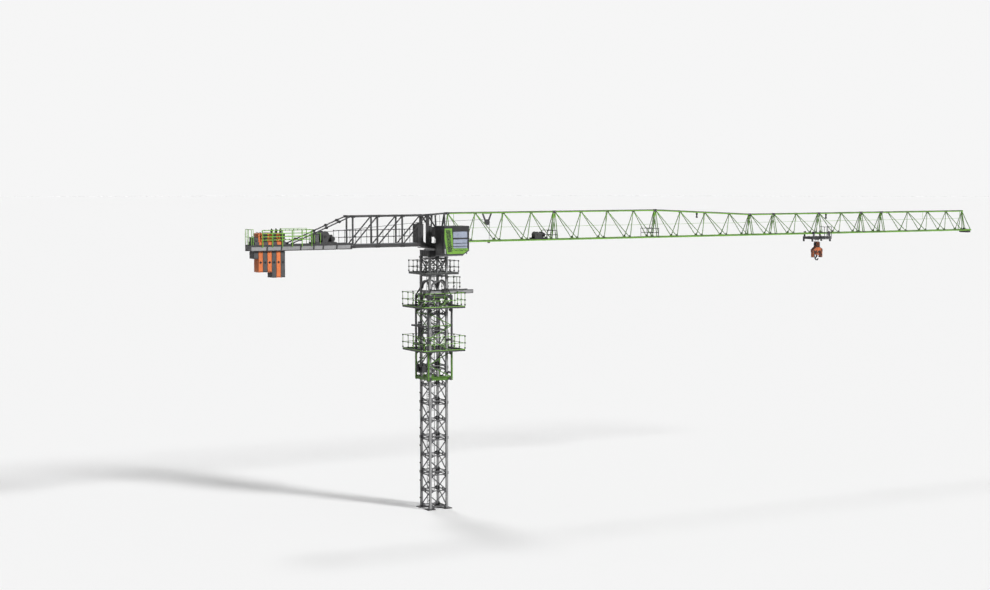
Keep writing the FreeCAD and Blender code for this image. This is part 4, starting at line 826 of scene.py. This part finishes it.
def hoist_winch_details():
    """Rope on the hoist drum, its motor's ribs, the vented resistor box and the bearing caps."""
    rope, rims, body, posts = builds(4)
    x, z = -4.775, 10.87
    motor_x, motor_z = -4.455, 10.775
    for i in range(24):
        rope.loop((x, -0.144 + 0.01252 * i, z), 1, 0.1555, 0.0062, 32, 5)
    for y in SIDES:
        rims.loop((x, y * 0.162, z), 1, 0.198, 0.006, 40, 6)
        rims.loop((x, y * 0.162, z), 1, 0.172, 0.005, 36, 5)
        body.pin(x, y * 0.206, y * 0.226, z, 0.055, 24)
        for turn in circle(6):
            body.stud(x + 0.044 * cos(turn), y * 0.226, z + 0.044 * sin(turn), y, 0.009, 0.009)
        for dx in (-0.42, -0.25, 0.25, 0.42):
            body.bolt((x + dx, y * 0.205, 10.655), (0, 0, 1), 0.013, 0.016)
    for i in range(11):
        body.wheel((motor_x, -0.125 + 0.025 * i, motor_z), 0.102, 0.008, 1, 0.0, 0.03, 26)
    for y in SIDES:
        body.pin(motor_x, y * 0.15, y * 0.235, motor_z, 0.095, 26, 0.085)
    body.boxes((-4.51, -4.4, -0.06, 0.06, 10.87, 10.93), (-5.2, -5.03, -0.2, 0.2, 10.66, 10.97),
               (-5.21, -5.02, -0.21, 0.21, 10.965, 10.985))
    for i in range(9):
        level = 10.69 + 0.03 * i
        for y in SIDES:
            near, far, under = y * 0.203, y * 0.211, level - 0.014
            body.plate([(-5.185, near, level), (-5.045, near, level), (-5.045, far, under),
                        (-5.185, far, under)], (0, 0, 0.004))
    for px in (-5.24, -4.99):
        for y in SIDES:
            posts.bar((px, y * 0.235, BEAM_TOP), (px, y * 0.235, 11.02), 0.018, 0.018)
    for y in SIDES:
        posts.bar((-5.24, y * 0.235, 11.01), (-4.99, y * 0.235, 11.01), 0.018, 0.018)
    rope.piece("hoist_drum_rope", ROPE, "hoist_drum", "wire_rope")
    rims.piece("hoist_drum_rims", STEEL, "hoist_drum", "bright_steel")
    body.piece("hoist_winch_fittings", BLACK, bevel=0.0015)
    posts.piece("resistor_box_frame", JIB_GREEN, "upper_works", "jib_green")


def counter_jib_details():
    """Flanges and stiffeners of the rear beams, walkway rails, tie joints and truss plates."""
    beams, walk, plates, decks = builds(4)
    for y in SIDES:
        for z0, z1 in ((10.37, 10.392), (10.585, 10.605)):
            beams.box(-7.825, -3.69, y * 0.303, y * 0.315, z0, z1)
        for x in (-7.2, -6.62, -5.838, -5.297, -4.906, -4.341, -3.735):
            beams.flat(y * 0.309, [(x - 0.035, 10.39), (x + 0.025, 10.39), (x + 0.045, 10.587),
                                   (x - 0.015, 10.587)], 0.012)
        for i in range(8):
            x = -4.22 + 0.47 * i
            walk.bar((x, y * 0.232, DECK_TOP), (x, y * 0.232, 11.09), 0.014, 0.014)
            for z in (10.82, 11.085):
                walk.block((x, y * 0.232, z), (0.018, 0.018, 0.018))
        for z in (10.82, 11.085):
            walk.bar((-4.22, y * 0.232, z), (-0.93, y * 0.232, z), 0.014, 0.014)
        for x in (-0.45, -1.525, -2.6, -3.65):
            for z, reach in ((10.45, 0.1), (11.612, 0.09)):
                plates.block((x, y * 0.31, z), (reach, 0.006, 0.045))
                for dx in (-0.6, 0.6):
                    plates.stud(x + dx * reach, y * 0.316, z, y, 0.013, 0.014)
        start, end = Vector((-3.72, y * 0.25, 11.62)), Vector((-6.15, y * 0.25, 10.645))
        along = (end - start).normalized()
        up = Vector((along.z, 0, -along.x))
        for share in ((0.2, 0.42, 0.62, 0.86) if y < 0 else (0.15, 0.34, 0.55, 0.86)):
            p = start.lerp(end, share)
            plates.plate([p - along * 0.12, p + up * 0.06, p + along * 0.12, p - up * 0.06], (0, 0.064, 0))
            plates.prism(p + Vector((0, -0.04, 0)), p + Vector((0, 0.04, 0)), 0.014, 10)
        plates.box(-3.79, -3.66, *about(y * 0.25, 0.03), 11.585, 11.66)
        plates.pin(-6.15, y * 0.25 - 0.035, y * 0.25 + 0.035, 10.645, 0.022, 12)
    grating(decks, -3.68, -0.86, -0.22, 0.22, DECK_TOP - 0.001)
    grating(decks, -6.35, -5.26, -0.24, 0.24, 10.574)
    beams.piece("rear_beam_flanges", DARK_GREY, bevel=0.0015)
    walk.piece("walkway_rails", BLACK)
    plates.piece("truss_plates_and_tie_joints", BLACK, bevel=0.0015)
    decks.piece("counter_jib_gratings", GALVANISED, "upper_works", "galvanised")


def ballast_details():
    """Lifting lugs, hanger bars and cast sockets of the counterweight slabs."""
    lugs, sockets = builds(2)
    for i in range(7):
        x = -7.69 + 0.18 * i + 0.0825
        top = 10.88 if i == 0 else 11.04
        bottom = (10.09, 9.58, 9.58, 9.58, 9.37, 9.37, 9.37)[i]
        for y in SIDES:
            sockets.box(*about(x, 0.03), *about(y * 0.225, 0.005), top - 0.16, top - 0.1)
            if i:
                sockets.box(*about(x, 0.05), *about(y * 0.225, 0.005), 9.93, 9.965)
                sockets.box(*about(x, 0.02), *about(y * 0.225, 0.005), 9.9, 9.995)
            sockets.box(*about(x, 0.06), *about(y * 0.225, 0.004), bottom + 0.02, bottom + 0.035)
        if i >= 4:
            lugs.flat(0, [(x + dx, top + rise) for dx, rise in (
                (-0.045, 0), (-0.045, 0.09), (-0.02, 0.15), (0.02, 0.15), (0.045, 0.09), (0.045, 0))], 0.03)
            lugs.loop((x, 0, top + 0.12), 0, 0.045, 0.01, 16, 6)
        else:
            for y in SIDES:
                lugs.loop((x, y * 0.12, top - 0.005), 1, 0.04, 0.009, 10, 6, 0, pi)
    lugs.piece("ballast_lifting_lugs", BLACK)
    sockets.piece("ballast_cast_sockets", BLACK)


def sign_details():
    """Clamps along the bare sign frame."""
    build = Build()
    low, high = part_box("sign_frame")
    for i in range(12):
        x = low.x + 0.1 + i * (high.x - low.x - 0.2) / 11
        for level in (BEAM_TOP + 0.19, high.z - 0.012):
            build.box(*about(x, 0.014), high.y - 0.034, high.y + 0.004, *about(level, 0.02))
    build.piece("sign_frame_clamps", BLACK)


def head_details():
    """Ladder, junction boxes, cabinet doors with louvres, conduits and pins in the tower head."""
    ladder, boxes, doors, conduits = builds(4)
    for y in (-0.11, 0.11):
        ladder.bar((-0.16, y, 10.46), (-0.16, y, 11.62), 0.016, 0.03)
    for i in range(8):
        ladder.pin(-0.16, -0.11, 0.11, 10.56 + 0.14 * i, 0.009, 8)
    for x0, x1, y0, y1, z0, z1 in (
            (0.02, 0.22, -0.285, -0.2, 10.72, 11.12), (0.27, 0.42, -0.28, -0.21, 10.8, 11.02),
            (-0.34, -0.22, -0.285, -0.21, 10.8, 11.22), (0.05, 0.3, 0.2, 0.285, 10.75, 11.15)):
        boxes.box(x0, x1, y0, y1, z0, z1)
        out = -1 if y0 < 0 else 1
        face = y0 if y0 < 0 else y1
        doors.box(x0 + 0.012, x1 - 0.012, face, face + out * 0.006, z0 + 0.012, z1 - 0.012)
    for y in SIDES:
        face = y * 0.2
        for x0, x1 in ((-0.812, -0.695), (-0.685, -0.568)):
            doors.box(x0, x1, face, face + y * 0.008, 10.57, 11.255)
            for i in range(7):
                level = 10.62 + 0.022 * i
                boxes.box(x0 + 0.02, x1 - 0.02, face + y * 0.008, face + y * 0.014, level, level + 0.009)
            boxes.box(x1 - 0.022, x1 - 0.012, face + y * 0.008, face + y * 0.022, 10.88, 10.98)
        boxes.box(-0.83, -0.55, y * 0.004, y * 0.215, 11.27, 11.288)
        for x, end in ((-0.82, -1), (-0.56, 1)):
            doors.box(x, x + end * 0.008, y * 0.02, y * 0.19, 10.58, 11.25)
            for i in range(6):
                boxes.box(x + end * 0.008, x + end * 0.014, y * 0.05, y * 0.16,
                          11.05 + 0.026 * i, 11.06 + 0.026 * i)
    for i in range(6):
        y = -0.14 + 0.028 * i
        conduits.tube([(-0.55, y, 10.62), (-0.42, y, 10.5), (-0.3, y, 10.47), (-0.1, y - 0.02, 10.465)],
                      0.008, 6)
    for x, y in ((0.12, -0.24), (0.345, -0.245), (-0.28, -0.245), (0.17, 0.24)):
        conduits.tube([(x, y, 10.76), (x, y, 10.6), (x - 0.03, y * 0.9, 10.47)], 0.009, 6)
        conduits.tube([(x + 0.03, y, 11.0), (x + 0.03, y, 11.35), (x + 0.05, y * 0.8, 11.62)], 0.007, 6)
    ladder.piece("head_ladder", MID_GREY)
    boxes.piece("junction_boxes", BLACK, bevel=0.002)
    doors.piece("cabinet_doors", DARK_GREY, bevel=0.0015)
    conduits.piece("conduits", RUBBER)


def cab_side(side):
    """Panels, perforations and window bars on one side of the cab, -1 for the side away from the mast."""
    face = CAB_FAR if side < 0 else CAB_INNER
    panel, dots, bars = builds(3)
    out = face + side * 0.003
    panel.flat(out, [(-0.243, 10.74), (-0.13, 10.14), (0.6, 10.14), (0.8, 10.27), (0.8, 10.348), (0.18, 10.348),
                     (0.132, 10.42), (0.09, 11.13), (-0.243, 11.13)], 0.006)
    for row in range(21):
        for col in range(6):
            x = -0.085 + 0.032 * col + (0.016 if row % 2 else 0) - 0.0045 * row
            z = 10.23 + 0.041 * row
            size = random.uniform(0.017, 0.026)
            turn = random.uniform(0, pi)
            dots.disc((x, face + side * 0.006, z), size, side * 0.003, turn)
    for i in range(16):
        x = 0.15 + 0.04 * i
        z = 10.31 - random.uniform(0, 0.05)
        dots.disc((x, face + side * 0.006, z), random.uniform(0.012, 0.024), side * 0.003, random.uniform(0, 3))
    bar_y = (face - side * 0.015, face + side * 0.004)
    for z0, z1 in ((10.715, 10.765), (10.545, 10.557), (10.43, 10.442)):
        bars.box(0.143, 0.79, *bar_y, z0, z1)
    for x0, x1 in ((0.12, 0.143), (0.79, 0.845)):
        bars.box(x0, x1, face, face + side * 0.008, 10.34, 11.03)
    bars.box(0.1, 0.845, face, face + side * 0.008, 11.015, 11.16)
    tag = "near" if side < 0 else "inner"
    panel.piece("cab_green_panel_" + tag, JIB_GREEN, "upper_works", "jib_green", 0.002)
    dots.piece("cab_perforations_" + tag, BLACK)
    bars.piece("cab_window_bars_" + tag, BLACK, bevel=0.002)


def cab_details():
    """Roof edge, front bars, rear door, floor slab, lamps and wiper, then the seat and consoles inside."""
    cab_side(-1)
    cab_side(1)
    trim, slab, lamps, inside = builds(4)
    for x0, x1, y0, y1 in ((-0.252, 0.856, -1.358, -1.346), (-0.252, 0.856, -0.614, -0.602),
                           (-0.252, -0.24, CAB_FAR, CAB_INNER), (0.846, 0.858, -1.35, -0.61)):
        trim.box(x0, x1, y0, y1, 11.155, 11.215)
    for z0, z1 in ((10.715, 10.765), (10.33, 10.36)):
        trim.box(0.835, 0.856, -1.3, -0.66, z0, z1)
    trim.boxes((0.835, 0.856, -0.99, -0.97, 10.355, 11.02), (-0.253, -0.243, -1.24, -0.78, 10.16, 11.08),
               (-0.262, -0.252, -1.21, -0.81, 10.19, 11.05), (-0.285, -0.262, -0.86, -0.845, 10.52, 10.68))
    trim.bar((0.862, -1.00, 10.4), (0.862, -1.16, 10.74), 0.006, 0.012)
    trim.box(0.852, 0.87, -1.03, -0.97, 10.37, 10.4)
    for x in (-0.16, 0.05, 0.26, 0.47):
        trim.box(x, x + 0.12, -1.28, -0.68, 11.206, 11.218)
    slab.box(-0.245, 0.6, -1.335, -0.625, 10.052, 10.086)
    slab.box(-0.2, 0.5, -0.7, -0.55, 10.052, 10.09)
    for y in (-1.2, -0.76):
        lamps.prism((0.8, y, 10.16), (0.83, y, 10.155), 0.035, 18, 0.042)
    lamps.box(-0.24, -0.185, -1.357, -1.352, 10.15, 10.34)
    inside.post(0.16, -0.98, 10.1, 10.36, 0.05, 16)
    inside.box(0.02, 0.3, -1.09, -0.87, 10.35, 10.38)
    for y in (-1.19, -0.85):
        inside.box(0.1, 0.42, y, y + 0.08, 10.36, 10.56)
        inside.prism((0.36, y + 0.04, 10.56), (0.37, y + 0.04, 10.66), 0.008, 8)
        inside.post(0.37, y + 0.04, 10.66, 10.69, 0.018, 12)
    inside.box(0.55, 0.62, -1.12, -0.9, 10.62, 10.8)
    inside.bar((0.62, -1.01, 10.12), (0.6, -1.01, 10.65), 0.02, 0.02)
    trim.piece("cab_trim", BLACK, bevel=0.002)
    slab.piece("cab_floor_slab", PALE_GREY, bevel=0.003)
    lamps.piece("cab_lamps", PALE_GREY, "upper_works", "galvanised")
    inside.piece("cab_consoles", BLACK, bevel=0.003)
    for name, center, half in (("seat_cushion", (0.16, -0.98, 10.415), (0.15, 0.14, 0.04)),
                               ("seat_back", (0.00, -0.98, 10.62), (0.045, 0.135, 0.19)),
                               ("seat_headrest", (-0.01, -0.98, 10.86), (0.035, 0.08, 0.05))):
        pad = Build()
        pad.pillow(center, half)
        pad.piece(name, SEAT)


def trolley_details():
    """Sheaves, wheel caps, bolts and grating of the trolley and its basket."""
    sheaves, caps, knots, floor = builds(4)
    x, bottom = TROLLEY_X, 10.305
    for dx in (-0.07, 0.07):
        for y in (-0.034, 0.034):
            sheaves.wheel((x + dx, y, bottom + 0.02), 0.068, 0.022, 1, 0.008, 0.018, 26)
    for side in SIDES:
        for dx in (-0.44, 0.44):
            caps.pin(x + dx, side * 0.326, side * 0.337, 10.597, 0.026, 16)
            caps.wheel((x + dx, side * 0.279, 10.597), 0.0495, 0.03, 1, 0.004, 0.02, 24)
            for dz in (0.03, 0.16):
                caps.stud(x + dx - 0.025, side * 0.328, bottom + dz, side, 0.01, 0.011)
                caps.stud(x + dx + 0.025, side * 0.328, bottom + dz, side, 0.01, 0.011)
        for dx in (-0.5, -0.2, 0.2, 0.5):
            caps.box(*about(x + dx, 0.03), *about(side * 0.3, 0.03), bottom + 0.1045, bottom + 0.112)
    low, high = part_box("trolley_basket")
    fence_knots(knots, (low.x + RAIL, low.y + RAIL), (high.x - RAIL, low.y + RAIL), low.z + 0.02, 0.54, 3,
                0.013)
    for i in range(5):
        z = low.z + 0.06 + 0.045 * i
        knots.bar((low.x + RAIL, low.y + RAIL, z), (high.x - RAIL, low.y + RAIL, z), 0.003, 0.003)
    grating(floor, low.x + 0.01, high.x - 0.01, low.y + 0.02, -0.34, low.z + 0.019, 0.03)
    sheaves.piece("trolley_sheaves", FORGED, "trolley")
    caps.piece("trolley_caps_and_bolts", BLACK, "trolley", bevel=0.001)
    knots.piece("basket_clamps_and_mesh", BLACK, "trolley")
    floor.piece("basket_grating", GALVANISED, "trolley", "galvanised")


def hook_details():
    """Black edges, sheaves and pins of the hook block, the hook's latch and collar, and the rope falls."""
    edges, pins, steel, falls = builds(4)
    x, top = TROLLEY_X, 10.18
    for side in SIDES:
        for z0, z1 in ((9.483, 9.512), (9.7, 9.712), (9.805, 9.827)):
            edges.box(x + side * 0.165, x + side * 0.264, -0.078, 0.078, z0, z1)
        for y in SIDES:
            outline = [(60, 0), (100, -60), (100, -240), (262, -345), (262, -445)]
            for (u0, w0), (u1, w1) in zip(outline, outline[1:]):
                edges.bar((x + side * u0 / 1000, y * 0.07, top + w0 / 1000),
                          (x + side * u1 / 1000, y * 0.07, top + w1 / 1000), 0.018, 0.024)
            edges.box(x + side * 0.168, x + side * 0.215, y * 0.074, y * 0.08, 9.515, 9.8)
            edges.box(x + side * 0.01, x + side * 0.075, y * 0.074, y * 0.08, 9.93, 10.02)
            edges.flat(y * 0.077, [(x + side * 0.02, 9.76), (x + side * 0.1, 9.8), (x + side * 0.16, 9.74),
                                   (x + side * 0.05, 9.7)], 0.006)
            pins.pin(x + side * PULLEY_REACH, y * 0.074, y * 0.082, 9.6, 0.038, 22)
            pins.stud(x + side * PULLEY_REACH, y * 0.082, 9.6, y, 0.016, 0.008)
            pins.stud(x + side * PULLEY_REACH, y * 0.075, 9.77, y, 0.013, 0.009)
    for y in SIDES:
        pins.pin(x, y * 0.074, y * 0.084, top - 0.11, 0.034, 22)
        pins.stud(x, y * 0.084, top - 0.11, y, 0.018, 0.008)
        pins.pin(x, y * 0.074, y * 0.083, top - 0.5, 0.028, 20)
        for dx in (-0.045, 0.045):
            pins.wheel((x + dx, y * 0.03, top - 0.11), 0.0855, 0.018, 1, 0.008, 0.02, 26)
    steel.post(x, 0, 9.565, 9.588, 0.045, 24)
    steel.post(x, 0, 9.545, 9.565, 0.034, 24)
    steel.bar((x + 0.022, 0, 9.512), (x - 0.052, 0, 9.437), 0.018, 0.008)
    for dx in (-0.07, 0.07):
        for y in (-0.034, 0.034):
            falls.post(x + dx, y, 10.18, 10.26, 0.006, 8)
    edges.piece("hook_block_edges", BLACK, "hook_block")
    pins.piece("hook_block_pins_and_sheaves", FORGED, "hook_block", bevel=0.001)
    steel.piece("hook_collar_and_latch", FORGED, "hook", "hook_steel", 0.001)
    ropes = falls.piece("hoist_falls", ROPE, None, "wire_rope")
    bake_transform(ropes)
    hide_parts("hoist_ropes")


for make in (mast_details, ladder_hoops, platform_details, cage_details, slewing_details, jib_details,
             running_ropes, trolley_winch_details, hoist_winch_details, counter_jib_details, ballast_details,
             sign_details, head_details, cab_details, trolley_details, hook_details):
    make()


# ---------------------------------------------------------------- floor, light, camera

def plain(name, values):
    """A flat finish without gloss."""
    mat = bpy.data.materials.new(name)
    mat.use_nodes = True
    inputs = mat.node_tree.nodes["Principled BSDF"].inputs
    fill(inputs, {"Specular IOR Level": 0.0, **values})
    return mat


def studio():
    """A plain pale floor, soft light from all round and one soft key."""
    bpy.ops.mesh.primitive_plane_add(size=1600, location=(0, 0, FLOOR_Z))
    floor = bpy.context.object
    floor.name = "floor"
    floor.data.materials.append(plain("floor_pale", {"Base Color": (0.9, 0.9, 0.9, 1), "Roughness": 1.0}))
    floor.visible_diffuse = False
    bpy.ops.mesh.primitive_uv_sphere_add(segments=48, ring_count=24, radius=760, location=(0, 0, FLOOR_Z))
    backdrop = bpy.context.object
    backdrop.name = "backdrop"
    backdrop.data.materials.append(plain("backdrop_pale", {
        "Base Color": (0, 0, 0, 1), "Emission Color": (1, 1, 1, 1), "Emission Strength": 0.92}))
    backdrop.visible_diffuse = False
    backdrop.visible_shadow = False
    world = bpy.data.worlds.new("studio")
    bpy.context.scene.world = world
    world.use_nodes = True
    sky = world.node_tree.nodes["Background"]
    sky.inputs[0].default_value = (1, 1, 1, 1)
    sky.inputs[1].default_value = 0.26
    for name, direction, energy in (("key", (0.45, -0.85, 0.6), 3.3), ("fill", (0.1, 0.6, 0.9), 0.75)):
        light = bpy.data.lights.new(name, "SUN")
        light.energy = energy
        light.angle = radians(12)
        lamp = bpy.data.objects.new(name, light)
        lamp.rotation_euler = Vector(direction).to_track_quat("Z", "Y").to_euler()
        bpy.context.scene.collection.objects.link(lamp)
    bpy.context.scene.view_settings.view_transform = "Standard"


def camera():
    """The camera, far off to the near side and a little above the jib."""
    data = bpy.data.cameras.new("camera")
    data.sensor_width = 36.0
    data.lens = 67.9
    data.clip_end = 3000
    cam = bpy.data.objects.new("camera", data)
    bpy.context.scene.collection.objects.link(cam)
    cam.location = (-34.65, -64.85, 13.58)
    heading = Vector((0.5, 0.866, 0)).normalized()
    pitch = radians(3.98)
    look = heading * cos(pitch) - Vector((0, 0, sin(pitch)))
    cam.rotation_euler = look.to_track_quat("-Z", "Y").to_euler()
    bpy.context.scene.camera = cam


studio()
camera()
